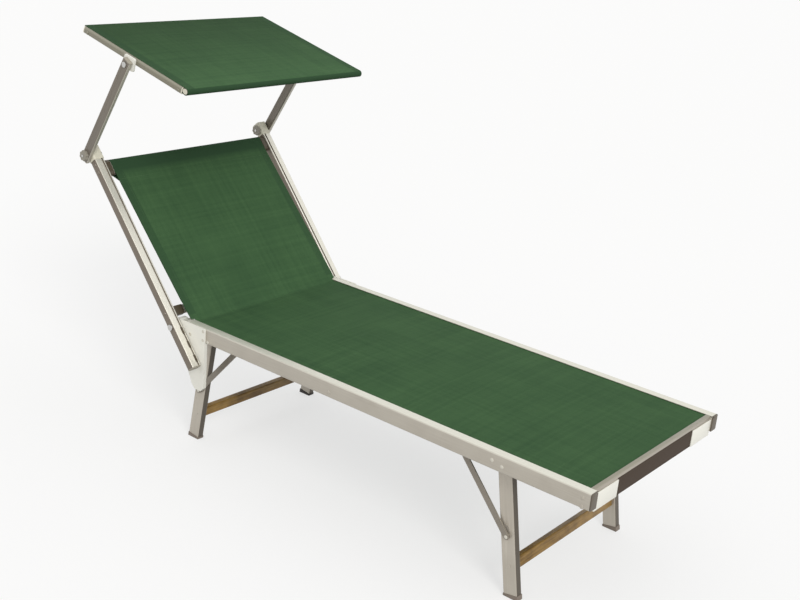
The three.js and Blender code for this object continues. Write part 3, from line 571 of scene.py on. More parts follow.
def cloth_sheet(name, path, columns, hem_rows=(), sag=None, side_hems_from=0):
    """A sheet of cloth along a path of (x, z, half width), divided across, with its cut as a UV map.
    hem_rows are the indices of rows whose cloth is doubled, sag(across, along) moves it off its path, and
    from the row side_hems_from on its two sides are doubled too."""
    lengths = [0.0]
    for (x0, z0, _), (x1, z1, _) in zip(path, path[1:]):
        lengths.append(lengths[-1] + math.hypot(x1 - x0, z1 - z0))
    work = bmesh.new()
    cut = work.loops.layers.uv.new("cut")
    doubled = work.verts.layers.float.new("hem")
    inside = 1 - HEM_WIDTH / path[-1][2]
    across = [2 * i / columns - 1 for i in range(columns + 1)]
    across += [end * line for end in (-1, 1) for line in (inside, inside - HEM_LINE)]
    across.sort()
    rows = []
    for i, (x, z, half) in enumerate(path):
        before, after = path[max(i - 1, 0)], path[min(i + 1, len(path) - 1)]
        run = Vector((after[0] - before[0], 0, after[1] - before[1])).normalized()
        normal = Vector((0, 1, 0)).cross(run) * -1
        row = []
        for u in across:
            vert = work.verts.new(Vector((x, u * half, z)) + normal * (sag(u, lengths[i]) if sag else 0))
            on_side = i >= side_hems_from and abs(u) > inside - HEM_LINE / 2
            side_hem = SIDE_HEM_TONE if on_side else 0.0
            vert[doubled] = 1.0 if i in hem_rows else side_hem
            row.append((vert, (u * half, lengths[i])))
        rows.append(row)
    for low, high in zip(rows, rows[1:]):
        for a, b, c, d in zip(low, low[1:], high[1:], high):
            face = work.faces.new([p[0] for p in (a, b, c, d)])
            for loop, point in zip(face.loops, (a, b, c, d)):
                loop[cut].uv = point[1]
    mesh = bpy.data.meshes.new(name)
    work.to_mesh(mesh)
    work.free()
    return mesh, lengths[-1]


def thickened(piece, thickness):
    """Gives a sheet its thickness, half to each side, and keeps the result as its mesh."""
    solidify = piece.modifiers.new("thickness", "SOLIDIFY")
    solidify.thickness = thickness
    solidify.offset = 0
    solidify.use_even_offset = True
    made = bpy.data.meshes.new_from_object(piece.evaluated_get(bpy.context.evaluated_depsgraph_get()))
    piece.modifiers.remove(solidify)
    piece.data = made
    return piece


def back_point(x, z):
    """A point of the backrest, x in front of its bars' middle and z up along them, as (x, z) in place."""
    place = back_lean @ Vector((x, 0, z))
    return place.x, place.z


def arc(centre, radius, start, end, steps):
    """Points along an arc round a centre, from one angle to the other in degrees."""
    return [(centre[0] + radius * math.cos(math.radians(start + (end - start) * i / steps)),
             centre[1] + radius * math.sin(math.radians(start + (end - start) * i / steps)))
            for i in range(steps + 1)]


TOP_BAR = (-0.003, 0.499)
HEM_RADIUS, HEM_STRAIGHT, HEM_END = 0.0114, 0.013, (0.0082, 0.452)
BEND_FROM_REAR, CORNER_FROM_REAR, GROOVE_LEFT_OPEN = 0.031, 0.0205, 0.006
BEND_NARROWER = 0.004
BACK_START = (0.0321, 0.013)
SEAT_STEPS, BEND_STEPS, BACK_STEPS = 30, 13, 24

rail_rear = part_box("seat_rail_right")[0].x
lip_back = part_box("seat_sling")[1].x
bend_start = rail_rear + BEND_FROM_REAR
front_face = BACK_START, (TOP_BAR[0] + HEM_RADIUS, TOP_BAR[1] - HEM_STRAIGHT)
bend_end = back_point(*BACK_START)
corner_x = rail_rear + CORNER_FROM_REAR


def on_front_face(t):
    """The point a share t of the way up the front face of the backrest's cloth."""
    return tuple(front_face[0][k] + (front_face[1][k] - front_face[0][k]) * t for k in (0, 1))


groove_end = bend_start + GROOVE_LEFT_OPEN
seat_rows = [(lip_back + (groove_end - lip_back) * i / SEAT_STEPS, SEAT_LEVEL, SEAT_HALF)
             for i in range(SEAT_STEPS + 1)]
seat_rows.append((bend_start, SEAT_LEVEL, RAIL_CLEAR))
bend_rows = []
for i in range(1, BEND_STEPS):
    t = i / BEND_STEPS
    x = (1 - t) ** 2 * bend_start + 2 * t * (1 - t) * corner_x + t * t * bend_end[0]
    z = (1 - t) ** 2 * SEAT_LEVEL + 2 * t * (1 - t) * SEAT_LEVEL + t * t * bend_end[1]
    wide = RAIL_CLEAR if z < RAIL_TOP_CLEAR else BACK_HALF - BEND_NARROWER * (1 - t)
    bend_rows.append((x, z, wide))
back_rows = [(*back_point(*on_front_face(i / BACK_STEPS)), BACK_HALF) for i in range(BACK_STEPS + 1)]
hem_points = arc((TOP_BAR[0], TOP_BAR[1] + HEM_STRAIGHT), HEM_RADIUS, 0, 180, 10)
hem_points += arc((TOP_BAR[0], TOP_BAR[1] - HEM_STRAIGHT), HEM_RADIUS, 180, 236, 4)
hem_points.append(HEM_END)
hem_rows = [(*back_point(x, z), BACK_HALF) for x, z in hem_points]
sling_path = seat_rows + bend_rows + back_rows + hem_rows
first_hem = len(seat_rows) + len(bend_rows) + len(back_rows) - 1
seat_length = lip_back - bend_start
back_from = seat_length + BACK_SAG_START
back_to = back_from + BACK_SAG_LENGTH


def sling_sag(u, along):
    """The sling hangs a few millimetres lower in its middle than at its held edges."""
    seat = math.sin(math.pi * min(max(along / seat_length, 0), 1))
    back = math.sin(math.pi * min(max((along - back_from) / (back_to - back_from), 0), 1))
    ripple = RIPPLE * math.sin(2 * math.pi * along / RIPPLE_LENGTH + RIPPLE_SLANT * u)
    ripple *= math.cos(RIPPLE_ACROSS * u)
    return (1 - u * u) * (ripple * (seat + back) - SEAT_SAG * seat - BACK_SAG * back)


sling_cloth = woven_vinyl("woven_green_vinyl")
sling_mesh, sling_length = cloth_sheet(
    "sling_mesh", sling_path, columns=44, hem_rows=range(first_hem, len(sling_path)), sag=sling_sag,
    side_hems_from=len(seat_rows) + len(bend_rows))
sling = dressed("sling", sling_mesh, sling_cloth, None, "sling_cloth", "seat_sling", "backrest_sling")
thickened(sling, CLOTH)


# Side hems of the backrest, where the same cloth is folded back on itself and sewn down along its two free
# edges. They lie behind the sling, and belong to its sheet.

FOLD_START, FOLD_STEPS = 0.09, 12
FOLD_BEHIND, FOLD_EDGE = 0.0014, 0.0003
FOLD_SAG_SHARE = 0.12
# The folded hems are darkened the same way, partly as painted shade.
FOLD_HEM_TONE = 0.5

for side, sign in SIDES:
    outer, inner = BACK_HALF - FOLD_EDGE, BACK_HALF - HEM_WIDTH
    rows = []
    for i in range(FOLD_STEPS + 1):
        t = FOLD_START + (1 - FOLD_START) * i / FOLD_STEPS
        x, z = on_front_face(t)
        rows.append(back_point(x - FOLD_BEHIND - BACK_SAG * math.sin(math.pi * t) * FOLD_SAG_SHARE, z))
    work = bmesh.new()
    cut = work.loops.layers.uv.new("cut")
    doubled = work.verts.layers.float.new("hem")
    widths = (inner, (inner + outer) / 2, outer)
    grid = [[work.verts.new((x, sign * y, z)) for y in widths] for x, z in rows]
    for low, high in zip(grid, grid[1:]):
        for j in range(len(widths) - 1):
            face = work.faces.new((low[j], low[j + 1], high[j + 1], high[j]))
            for loop in face.loops:
                loop[cut].uv = (loop.vert.co.y, loop.vert.co.z)
    for vert in work.verts:
        vert[doubled] = FOLD_HEM_TONE
    bmesh.ops.recalc_face_normals(work, faces=work.faces)
    mesh = bpy.data.meshes.new("back_hem_mesh_" + side)
    work.to_mesh(mesh)
    work.free()
    hem = dressed("back_side_hem_" + side, mesh, sling_cloth, None, "sling_cloth")
    thickened(hem, CLOTH)
    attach(hem, "backrest")
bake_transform(sling)


# Canopy arms, extruded flat tube clamped beside the elbows, with nylon plugs in both ends. They swing on
# the elbow bolts and carry the pivots of the canopy.

ARM_LEAN = 30.9
ARM_TAIL, ARM_END = 0.016, 0.341
ARM_INNER, ARM_THICKNESS, ARM_WIDTH = 0.3475, 0.013, 0.029
ARM_PLUG, ARM_PLUG_INSET, ARM_PLUG_CORNER = 0.002, 0.0006, 0.0022

arm_lean = leaning("canopy_arm_swing", ARM_LEAN)
# The arms' fronts get a paler painted tone: painted highlight.
arm_metal = anodised_aluminium("anodised_canopy_arm", *leaning_ways(ARM_LEAN),
                               light="#857d73", dark="#716a60", painted_light_and_shade="#c0bbaf")
for side, sign in SIDES:
    softened("canopy_arm_" + side, arm_metal, radius=0.0008)
    outline = rounded_outline(ARM_THICKNESS - ARM_PLUG_INSET, ARM_WIDTH - ARM_PLUG_INSET, ARM_PLUG_CORNER,
                              sign * (ARM_INNER + ARM_THICKNESS / 2))
    for place, start in (("lower", -ARM_TAIL - ARM_PLUG), ("upper", ARM_END)):
        extruded(f"canopy_arm_{place}_plug_{side}", outline, arm_lean @ Matrix.Translation((0, 0, start)),
                 ARM_PLUG, grey_nylon, "canopy_arms", "grey_plastic")


# Elbow knobs, moulded in grey nylon with eight finger lobes, on bolts that pass through arm and bar. Turned
# tight, they hold the arms at any angle.

knob_nylon = moulded("moulded_grey_knobs", "#9d988c", roughness=0.42)
for side, _ in SIDES:
    softened("elbow_knob_" + side, knob_nylon, radius=0.0009, segments=2)


# Canopy side rails, extruded with a sloping shoulder, their ends closed by pale plugs. The white pivot
# blocks are moulded nylon, screwed to the rails' outer faces. The rails' painted light way is longer than
# one, so that the whole of the gently sloped shoulder gets the paler painted tone of what faces the sky:
# painted light.

CANOPY_LEAN = 13.5
CANOPY_BACK, CANOPY_FRONT = 0.210, 0.232
CANOPY_OUTER, CANOPY_RAIL_WIDTH = 0.341, 0.028
RAIL_LOW, RAIL_TOP, RAIL_BAND, RAIL_SLOPE, RAIL_CORNER = 0.0056, 0.0246, 0.0156, 0.0032, 0.001
RAIL_PLUG, RAIL_PLUG_SET_BACK = 0.003, 0.0033
HEM_BAR_DEPTH = 0.0216
SHOULDER_SHARE = 2.6

canopy_lean = leaning("canopy_tilt", CANOPY_LEAN)
canopy_lengthways = (0, math.radians(90 - CANOPY_LEAN), 0)
canopy_painted_light_way = (SHOULDER_SHARE * math.sin(math.radians(CANOPY_LEAN)), 0,
                SHOULDER_SHARE * math.cos(math.radians(CANOPY_LEAN)))
canopy_metal = anodised_aluminium("anodised_canopy_rail", canopy_lengthways, canopy_painted_light_way,
                                  light="#918d7c", dark="#7f7b6c", painted_light_and_shade="#a7a493")
inner = CANOPY_OUTER - CANOPY_RAIL_WIDTH
across_rail = [
    (inner, RAIL_LOW), (CANOPY_OUTER - RAIL_CORNER, RAIL_LOW), (CANOPY_OUTER, RAIL_LOW + RAIL_CORNER),
    (CANOPY_OUTER, RAIL_BAND), (CANOPY_OUTER - RAIL_SLOPE, RAIL_TOP), (inner, RAIL_TOP),
]
rail_ends = (("back", -CANOPY_BACK), ("front", CANOPY_FRONT - HEM_BAR_DEPTH - RAIL_PLUG_SET_BACK))
for side, sign in SIDES:
    softened("canopy_rail_" + side, canopy_metal, radius=0.0005)
    softened("canopy_pivot_block_" + side, white_nylon, radius=0.001)
    for place, start in rail_ends:
        turn = Matrix(((0, 0, 1, start), (sign, 0, 0, 0), (0, 1, 0, 0), (0, 0, 0, 1)))
        extruded(f"canopy_rail_{place}_plug_{side}", across_rail, canopy_lean @ turn, RAIL_PLUG,
                 cream_nylon, "canopy", "cream_plastic")


# Canopy cloth, the same vinyl-coated weave, stretched over the rails and sewn round a bar at the front and
# at the back. Plugs close the front bar, a cream one on the right and a brown one on the left, its brown
# painted shade.

CLOTH_TOP = 0.0263
CLOTH_CLEAR = 0.0002
FRONT_HALF, BACK_HEM_HALF = 0.3398, 0.3127
HEM_DEPTH, HEM_HEIGHT = 0.0212, 0.0182
FRONT_HEM_TURN, FRONT_HEM_DROP = 0.012, 0.004
FRONT_HEM_LENGTH = 0.055
BACK_EDGE = 0.0006
TOP_STEPS = 26
CANOPY_SAG, CANOPY_SAG_LENGTH = 0.0035, 0.40
BACK_HEM_LOWER, BACK_HEM_TIGHTER, BACK_HEM_TURN = 0.0004, 0.0008, (0.020, 0.0022)
FRONT_PLUG_HALF_DEPTH, FRONT_PLUG_HALF_HEIGHT = 0.0085, 0.0072
FRONT_PLUG_SUNK, FRONT_PLUG = 0.001, 0.0016

for bar in ("canopy_front_bar", "canopy_back_bar"):
    softened(bar, crossbar_metal, radius=0.0006)


def canopy_point(x, z):
    """A point of the canopy, x in front of its pivots and z above them, as (x, z) in place."""
    place = canopy_lean @ Vector((x, 0, z))
    return place.x, place.z


hem_round = HEM_HEIGHT / 2
hem_level = CLOTH_TOP - CLOTH_CLEAR - hem_round
front_centre = CANOPY_FRONT - HEM_BAR_DEPTH / 2
back_centre = HEM_BAR_DEPTH / 2 - CANOPY_BACK
half_straight = HEM_DEPTH / 2 - hem_round
front_hem = [(front_centre - half_straight - FRONT_HEM_TURN, hem_level - hem_round + FRONT_HEM_DROP)]
front_hem += arc((front_centre - half_straight, hem_level), hem_round, 262, 270, 1)
front_hem += arc((front_centre + half_straight, hem_level), hem_round, -90, 90, 12)
top_run = -CANOPY_BACK + BACK_EDGE - front_centre
top_rows = [(front_centre + top_run * i / TOP_STEPS, hem_level + hem_round)
            for i in range(1, TOP_STEPS + 1)]
canopy_path = [(*canopy_point(x, z), FRONT_HALF) for x, z in front_hem + top_rows]


def canopy_sag(u, along):
    """The canopy cloth hangs a few millimetres lower in its middle than over its rails and bars."""
    run = min(max((along - FRONT_HEM_LENGTH) / CANOPY_SAG_LENGTH, 0), 1)
    return -(1 - u * u) * CANOPY_SAG * math.sin(math.pi * run)


canopy_cloth_material = woven_vinyl("woven_green_canopy_vinyl", tone_along_length=(1.14, 0.63))
canopy_mesh, canopy_length = cloth_sheet(
    "canopy_cloth_mesh", canopy_path, columns=44, hem_rows=range(len(front_hem) - 2), sag=canopy_sag)
canopy_cloth = dressed("canopy_cloth", canopy_mesh, canopy_cloth_material, None, "sling_cloth",
                       "canopy_fabric")
thickened(canopy_cloth, CLOTH)
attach(canopy_cloth, "canopy")

back_level = hem_level - BACK_HEM_LOWER
back_round = hem_round - BACK_HEM_TIGHTER
back_hem = arc((back_centre - half_straight, back_level), back_round, 90, 270, 10)
back_hem += arc((back_centre + half_straight, back_level), back_round, 270, 300, 2)
back_hem.append((back_centre + half_straight + BACK_HEM_TURN[0], CLOTH_TOP - BACK_HEM_TURN[1]))
back_path = [(*canopy_point(x, z), BACK_HEM_HALF) for x, z in back_hem]
back_mesh, _ = cloth_sheet("canopy_back_hem_mesh", back_path, columns=20, hem_rows=range(len(back_path)))
canopy_hem = dressed("canopy_back_hem", back_mesh, canopy_cloth_material, None, "sling_cloth")
thickened(canopy_hem, CLOTH)
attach(canopy_hem, "canopy")

# The left plug's brown is painted shade.
FRONT_PLUG_FINISH_AND_SHADE = {"right": (cream_nylon, "cream_plastic"), "left": (brown_nylon, "dark_plastic")}
for side, sign in SIDES:
    outline = [(front_centre + FRONT_PLUG_HALF_DEPTH * math.cos(math.radians(angle)),
                hem_level + FRONT_PLUG_HALF_HEIGHT * math.sin(math.radians(angle)))
               for angle in range(0, 360, 30)]
    start = sign * (FRONT_HALF - FRONT_PLUG_SUNK)
    turn = Matrix(((1, 0, 0, 0), (0, 0, sign, start), (0, 1, 0, 0), (0, 0, 0, 1)))
    end_nylon, end_slot = FRONT_PLUG_FINISH_AND_SHADE[side]
    extruded("canopy_front_bar_plug_" + side, outline, canopy_lean @ turn, FRONT_PLUG, end_nylon,
             "canopy", end_slot)


# Bolts, cold-headed in steel and zinc-plated. The heads are low domes, and the bright plating on them is
# faintly mottled by its crystals.

ZINC_CRYSTAL = 0.0014


def zinc_plated(name):
    """Zinc-plated steel: bright, slightly blue-grey, with a crystalline mottle in its gloss."""
    material, tree, shader = surface(name, "#c6c5c2", 0.3, Metallic=1.0)
    place = node(tree, "ShaderNodeTexCoord").outputs["Object"]
    crystals = node(tree, "ShaderNodeTexVoronoi", {"Vector": place, "Scale": 1 / ZINC_CRYSTAL})
    gloss = node(tree, "ShaderNodeMapRange", {
        "Value": crystals.outputs["Distance"], "To Min": 0.24, "To Max": 0.42})
    tree.links.new(gloss.outputs[0], shader.inputs["Roughness"])
    return material


zinc = zinc_plated("zinc_plated_steel")
for end in ("foot", "head"):
    for side, _ in SIDES:
        softened(f"{end}_leg_bolt_{side}", zinc, radius=0.0009)
for bolt in ("hinge_bolt", "elbow_bolt", "canopy_pivot_bolt"):
    for side, _ in SIDES:
        softened(f"{bolt}_{side}", zinc, radius=0.0009)


# Rivets and screws, pressed or driven in from outside: domed aluminium heads on a thin flange. Those of the
# leg brackets, plates and braces are bright, and the rest were anodised with the piece that they hold.

HEAD_RADIUS, DOMED, LOW = 0.0042, 0.0017, 0.0010
FLANGE_SHARE, FLANGE = 1.16, 0.0009
RAIL_FACE, PLATE_FACE, BAR_RIVET_FACE = 0.310, 0.3134, 0.345
LEG_FACE, BRACE_FACE = 0.246, 0.254
# Brackets' rivets are placed along from their leg's pivot, and the next two rows from the rails' rear end.
BRACKET_RIVETS = {"foot": ((0.0055, 0.371), (0.034, 0.364)), "head": ((0.066, 0.3535),)}
RAIL_END_RIVETS = ((1.298, 0.352), (1.298, 0.373), (0.552, 0.362))
PLATE_SCREWS = ((0.086, 0.382), (0.086, 0.356), (0.034, 0.358))
BAR_RIVETS = (0.042, 0.488, 0.512)
CANOPY_RIVETS, CANOPY_RIVET_LEVEL = (-0.192, 0.196), 0.0108
LEG_PIVOT_LEVEL, LEG_CROSSBAR_LEVEL = 0.346, 0.082


def growing_tree(name, *sizes):
    """Starts a node tree that takes bare points or lines, some sizes by name, and a finish."""
    tree = bpy.data.node_groups.new(name, "GeometryNodeTree")
    sockets = [("Geometry", "INPUT", "NodeSocketGeometry")]
    sockets += [(size, "INPUT", "NodeSocketFloat") for size in sizes]
    sockets += [("Finish", "INPUT", "NodeSocketMaterial"), ("Geometry", "OUTPUT", "NodeSocketGeometry")]
    for label, in_out, kind in sockets:
        tree.interface.new_socket(label, in_out=in_out, socket_type=kind)
    return tree, node(tree, "NodeGroupInput")


def drawn_ball(tree, segments, rings, radius, height):
    """A ball squashed or drawn out along z, from the links that give its radius and its half height."""
    ball = node(tree, "GeometryNodeMeshUVSphere", {"Segments": segments, "Rings": rings, "Radius": 1.0})
    size = node(tree, "ShaderNodeCombineXYZ", {"X": radius, "Y": radius, "Z": height})
    return node(tree, "GeometryNodeTransform", {"Geometry": ball.outputs[0], "Scale": size.outputs[0]})


def set_out(tree, given, places, shape, way):
    """Ends such a tree: puts the shape at every place, turned the given way, and gives it its finish."""
    turn = node(tree, "FunctionNodeAlignRotationToVector", {"Vector": way}, axis="Z")
    placed = node(tree, "GeometryNodeInstanceOnPoints", {
        "Points": places, "Instance": shape, "Rotation": turn.outputs[0]})
    real = node(tree, "GeometryNodeRealizeInstances", {"Geometry": placed.outputs[0]})
    finish = node(tree, "GeometryNodeSetMaterial", {
        "Geometry": real.outputs[0], "Material": given.outputs["Finish"]})
    node(tree, "NodeGroupOutput", {0: finish.outputs[0]})
    return tree


def rivet_tree():
    """Puts a domed head, turned along the direction kept on each point, at every point of a mesh."""
    tree, given = growing_tree("domed_heads", "Head radius", "Head height")
    facing = node(tree, "GeometryNodeInputNamedAttribute", {"Name": "facing"}, data_type="FLOAT_VECTOR")
    dome = drawn_ball(tree, 16, 8, given.outputs["Head radius"], given.outputs["Head height"])
    wide = node(tree, "ShaderNodeMath", {0: given.outputs["Head radius"], 1: FLANGE_SHARE},
                operation="MULTIPLY")
    disc = node(tree, "GeometryNodeMeshCylinder", {
        "Vertices": 16, "Radius": wide.outputs[0], "Depth": FLANGE})
    head = node(tree, "GeometryNodeJoinGeometry")
    tree.links.new(disc.outputs[0], head.inputs[0])
    tree.links.new(dome.outputs[0], head.inputs[0])
    return set_out(tree, given, given.outputs["Geometry"], head.outputs[0], facing.outputs[0])


def grown(name, points, edges, attributes, tree, inputs, body, slot):
    """Runs a node tree over a bare mesh of points and keeps what it makes as one plain mesh piece."""
    seed_mesh = bpy.data.meshes.new(name + "_seed")
    seed_mesh.from_pydata(points, edges, [])
    for label, values in attributes.items():
        layer = seed_mesh.attributes.new(label, "FLOAT_VECTOR", "POINT")
        layer.data.foreach_set("vector", [c for value in values for c in value])
    seed = bpy.data.objects.new(name + "_seed", seed_mesh)
    bpy.context.scene.collection.objects.link(seed)
    modifier = seed.modifiers.new("grow", "NODES")
    modifier.node_group = tree
    for item in tree.interface.items_tree:
        if item.in_out == "INPUT" and item.name in inputs:
            modifier[item.identifier] = inputs[item.name]
    made = bpy.data.meshes.new_from_object(seed.evaluated_get(bpy.context.evaluated_depsgraph_get()))
    bpy.data.objects.remove(seed)
    return dressed(name, made, inputs["Finish"], body, slot)


def facing_out(point, sign):
    """A place for a head whose dome looks straight out from one side of the lounger."""
    return Vector(point), Vector((0, sign, 0))


# Their tops get the paler painted highlight tone.
bright_aluminium = anodised_aluminium("bright_rivet_aluminium", BAR_LENGTHWAYS, UPWARDS,
                                      light="#dedace", dark="#d0ccc0")
heads = rivet_tree()
seat_rivets, rail_end_rivets, plate_screws, back_rivets, canopy_rivets = [], [], [], [], []
crossbar_screws = {"foot": [], "head": []}
brace_rivets = {"foot": [], "head": []}
for _, sign in SIDES:
    for end in LEG_LEAN:
        leg_top = PIVOT[end + "_legs_fold"].x
        seat_rivets += [facing_out((leg_top + x, sign * RAIL_FACE, z), sign)
                        for x, z in BRACKET_RIVETS[end]]
    rail_end_rivets += [facing_out((rail_rear + x, sign * RAIL_FACE, z), sign) for x, z in RAIL_END_RIVETS]
    plate_screws += [facing_out((rail_rear + x, sign * PLATE_FACE, z), sign) for x, z in PLATE_SCREWS]
    back_rivets += [facing_out(back_lean @ Vector((0, sign * BAR_RIVET_FACE, z)), sign) for z in BAR_RIVETS]
    canopy_rivets += [
        facing_out(canopy_lean @ Vector((x, sign * CANOPY_OUTER, CANOPY_RIVET_LEVEL)), sign)
        for x in CANOPY_RIVETS]
    for end, lean in LEG_LEAN.items():
        down = (LEG_CROSSBAR_LEVEL - LEG_PIVOT_LEVEL) / math.cos(math.radians(lean))
        leg_lean = leaning(end + "_legs_fold", lean)
        crossbar_screws[end].append(facing_out(leg_lean @ Vector((0, sign * LEG_FACE, down)), sign))
        brace_pin = PIVOT[end + "_braces_fold"] + Vector((0, sign * BRACE_FACE, 0))
        brace_rivets[end].append(facing_out(brace_pin, sign))
groups = [
    ("seat_rivets", seat_rivets, "seat_frame", DOMED, bright_aluminium),
    ("rail_end_rivets", rail_end_rivets, "seat_frame", DOMED, rail_metal),
    ("plate_screws", plate_screws, "seat_frame", LOW, bright_aluminium),
    ("back_rivets", back_rivets, "backrest", DOMED, bar_metal),
    ("canopy_rivets", canopy_rivets, "canopy", DOMED, canopy_metal),
    ("foot_crossbar_screws", crossbar_screws["foot"], "foot_legs", LOW, leg_metal["foot"]),
    ("head_crossbar_screws", crossbar_screws["head"], "head_legs", LOW, leg_metal["head"]),
    ("foot_brace_rivets", brace_rivets["foot"], "foot_braces", DOMED, bright_aluminium),
    ("head_brace_rivets", brace_rivets["head"], "head_braces", DOMED, bright_aluminium),
]
for name, places, body, height, metal in groups:
    grown(name, [p for p, _ in places], [], {"facing": [d for _, d in places]}, heads,
          {"Head radius": HEAD_RADIUS, "Head height": height, "Finish": metal}, body, "steel_hardware")


# Lockstitch seams of bonded polyester thread, sewn along the hems of the backrest and of the canopy. The
# thread is drawn 0.9 mm thick, about twice the real one, so that it shows.

STITCH_LENGTH, THREAD_RADIUS = 0.0055, 0.00045
STITCH_HALF_SHARE = 0.38
STITCH_PROUD = 0.0006
SEAM_FROM_FOLD, SIDE_SEAM = 0.004, (0.10, 0.97)
SIDE_SEAM_STEPS = 16
TOP_SEAM_LEVEL, TOP_SEAM_HALF = 0.455, 0.292
FRONT_SEAM_TURN, BACK_SEAM_TURN, CANOPY_SEAM_HALF = 0.013, 0.017, 0.334
CANOPY_SIDE_SEAM, CANOPY_SIDE_SEAM_RUN = 0.326, (0.205, -0.206)
CROSS_SEAM_LIFT, SIDE_SEAM_LIFT = 0.0002, 0.0001


def stitch_tree():
    """Puts short rounded stitches, turned along the line, at even steps on a mesh of edges."""
    tree, given = growing_tree("lockstitches", "Stitch length", "Thread radius")
    line = node(tree, "GeometryNodeMeshToCurve", {"Mesh": given.outputs["Geometry"]})
    even = node(tree, "GeometryNodeResampleCurve", {
        "Curve": line.outputs[0], "Length": given.outputs["Stitch length"]}, mode="LENGTH")
    along = node(tree, "GeometryNodeInputTangent")
    half = node(tree, "ShaderNodeMath", {0: given.outputs["Stitch length"], 1: STITCH_HALF_SHARE},
                operation="MULTIPLY")
    stitch = drawn_ball(tree, 6, 4, given.outputs["Thread radius"], half.outputs[0])
    return set_out(tree, given, even.outputs[0], stitch.outputs[0], along.outputs[0])


thread_material = moulded("green_sewing_thread", "#4c6e46", roughness=0.7, grain=0.0008)
stitches = stitch_tree()
out_back = (back_lean.to_3x3() @ Vector((1, 0, 0))).normalized()
back_seams = []
for _, sign in SIDES:
    y = sign * (BACK_HALF - HEM_WIDTH + SEAM_FROM_FOLD)
    (x_low, z_low), (x_high, z_high) = (on_front_face(t) for t in SIDE_SEAM)
    low, high = back_lean @ Vector((x_low, y, z_low)), back_lean @ Vector((x_high, y, z_high))
    back_seams.append([low.lerp(high, i / SIDE_SEAM_STEPS) + out_back * STITCH_PROUD
                       for i in range(SIDE_SEAM_STEPS + 1)])
seam_share = (TOP_SEAM_LEVEL - front_face[0][1]) / (front_face[1][1] - front_face[0][1])
seam_x = on_front_face(seam_share)[0] + STITCH_PROUD
back_seams.append([back_lean @ Vector((seam_x, y, TOP_SEAM_LEVEL))
                   for y in (-TOP_SEAM_HALF, TOP_SEAM_HALF)])
canopy_seams = []
for x in (front_centre - half_straight - FRONT_SEAM_TURN, back_centre + half_straight + BACK_SEAM_TURN):
    canopy_seams.append([canopy_lean @ Vector((x, y, CLOTH_TOP + CROSS_SEAM_LIFT))
                         for y in (-CANOPY_SEAM_HALF, CANOPY_SEAM_HALF)])
for _, sign in SIDES:
    canopy_seams.append([canopy_lean @ Vector((x, sign * CANOPY_SIDE_SEAM, CLOTH_TOP + SIDE_SEAM_LIFT))
                         for x in CANOPY_SIDE_SEAM_RUN])
for name, lines, body in (("back_seams", back_seams, "backrest"), ("canopy_seams", canopy_seams, "canopy")):
    points, edges = [], []
    for line in lines:
        first = len(points)
        points += line
        edges += [(first + i, first + i + 1) for i in range(len(line) - 1)]
    sizes = {"Stitch length": STITCH_LENGTH, "Thread radius": THREAD_RADIUS, "Finish": thread_material}
    grown(name, points, edges, {}, stitches, sizes, body, "sling_cloth")


# Floor, daylight and camera. The pale floor keeps the shadow, and the white beyond it is seen by the
# camera, by gloss and through glass, while the lounger is lit at a plain level. The white sky is a little
# below 1, so that it meets the floor without a step.

FLOOR_SIZE = 120.0
FLOOR_LEVEL = -0.0003
FLOOR_SHADOW = 0.38
DAYLIGHT, WHITE_SKY = 0.70, 0.965
SUN_STRENGTH, SUN_WIDTH, SUN_FROM = 1.4, math.radians(24), Vector((0.66, -0.40, 0.50))


def seen_directly(tree):
    """Adds nodes that tell whether a ray comes from the camera, from gloss or through glass."""
    ray = node(tree, "ShaderNodeLightPath")
    glossy = node(tree, "ShaderNodeMath", {
        0: ray.outputs["Is Camera Ray"], 1: ray.outputs["Is Glossy Ray"]}, operation="MAXIMUM")
    clear = node(tree, "ShaderNodeMath", {
        0: glossy.outputs[0], 1: ray.outputs["Is Transmission Ray"]}, operation="MAXIMUM")
    return clear.outputs[0]


floor_mesh = bpy.data.meshes.new("floor")
edge = FLOOR_SIZE / 2
corners = [(x, y, FLOOR_LEVEL) for x, y in ((-edge, -edge), (edge, -edge), (edge, edge), (-edge, edge))]
floor_mesh.from_pydata(corners, [], [(0, 1, 2, 3)])
floor = bpy.data.objects.new("floor", floor_mesh)
bpy.context.scene.collection.objects.link(floor)
floor_material = bpy.data.materials.new("painted_white_floor")
floor_material.use_nodes = True
tree = floor_material.node_tree
tree.nodes.clear()
glow = node(tree, "ShaderNodeEmission", {"Color": (1, 1, 1, 1), "Strength": 1.0})
pale = node(tree, "ShaderNodeBsdfDiffuse", {"Color": (0.97, 0.97, 0.965, 1)})
white = node(tree, "ShaderNodeMixShader", {0: FLOOR_SHADOW, 1: glow.outputs[0], 2: pale.outputs[0]})
grey = node(tree, "ShaderNodeBsdfDiffuse", {"Color": (0.5, 0.5, 0.49, 1)})
both = node(tree, "ShaderNodeMixShader", {0: seen_directly(tree), 1: grey.outputs[0], 2: white.outputs[0]})
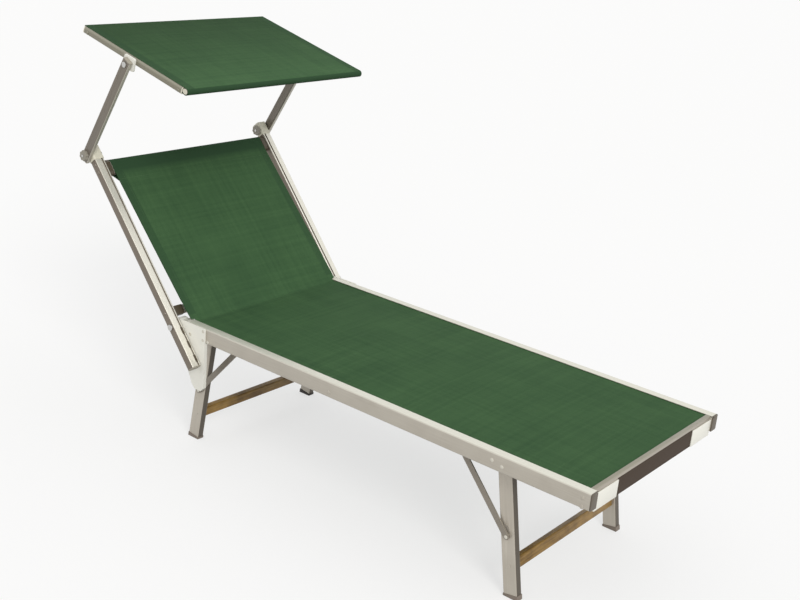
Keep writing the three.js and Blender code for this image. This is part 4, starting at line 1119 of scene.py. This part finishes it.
node(tree, "ShaderNodeOutputMaterial", {"Surface": both.outputs[0]})
floor_mesh.materials.append(floor_material)

world = bpy.data.worlds.new("studio")
world.use_nodes = True
tree = world.node_tree
tree.nodes.clear()
lit = node(tree, "ShaderNodeBackground", {"Color": (1, 1, 1, 1), "Strength": DAYLIGHT})
white = node(tree, "ShaderNodeBackground", {"Color": (1, 1, 1, 1), "Strength": WHITE_SKY})
both = node(tree, "ShaderNodeMixShader", {0: seen_directly(tree), 1: lit.outputs[0], 2: white.outputs[0]})
node(tree, "ShaderNodeOutputWorld", {"Surface": both.outputs[0]})
bpy.context.scene.world = world

key = bpy.data.lights.new("key", "SUN")
key.energy = SUN_STRENGTH
key.angle = SUN_WIDTH
key.color = (1.0, 0.985, 0.96)
key_lamp = bpy.data.objects.new("key", key)
key_lamp.rotation_mode = "QUATERNION"
key_lamp.rotation_quaternion = SUN_FROM.to_track_quat("Z", "Y")
bpy.context.scene.collection.objects.link(key_lamp)

CAMERA_PLACE = Vector((rail_rear + 2.3674, -2.4045, 1.6181))
YAW, PITCH, ROLL = (math.radians(angle) for angle in (37.64, 19.72, 5.15))
FOCAL_PIXELS, IMAGE_WIDTH, SENSOR = 1200.11, 800, 36
away = Vector((math.sin(YAW) * math.cos(PITCH), -math.cos(YAW) * math.cos(PITCH), math.sin(PITCH)))
level = Vector((math.cos(YAW), math.sin(YAW), 0))
upright = away.cross(level)
right = math.cos(ROLL) * level + math.sin(ROLL) * upright
up = -math.sin(ROLL) * level + math.cos(ROLL) * upright
camera_data = bpy.data.cameras.new("camera")
camera_data.lens = FOCAL_PIXELS / IMAGE_WIDTH * SENSOR
camera_data.sensor_width = SENSOR
camera_data.clip_end = 60
camera = bpy.data.objects.new("camera", camera_data)
camera.matrix_world = Matrix.Translation(CAMERA_PLACE) @ Matrix((right, up, away)).transposed().to_4x4()
bpy.context.scene.collection.objects.link(camera)
bpy.context.scene.camera = camera
bpy.context.scene.view_settings.view_transform = "Standard"
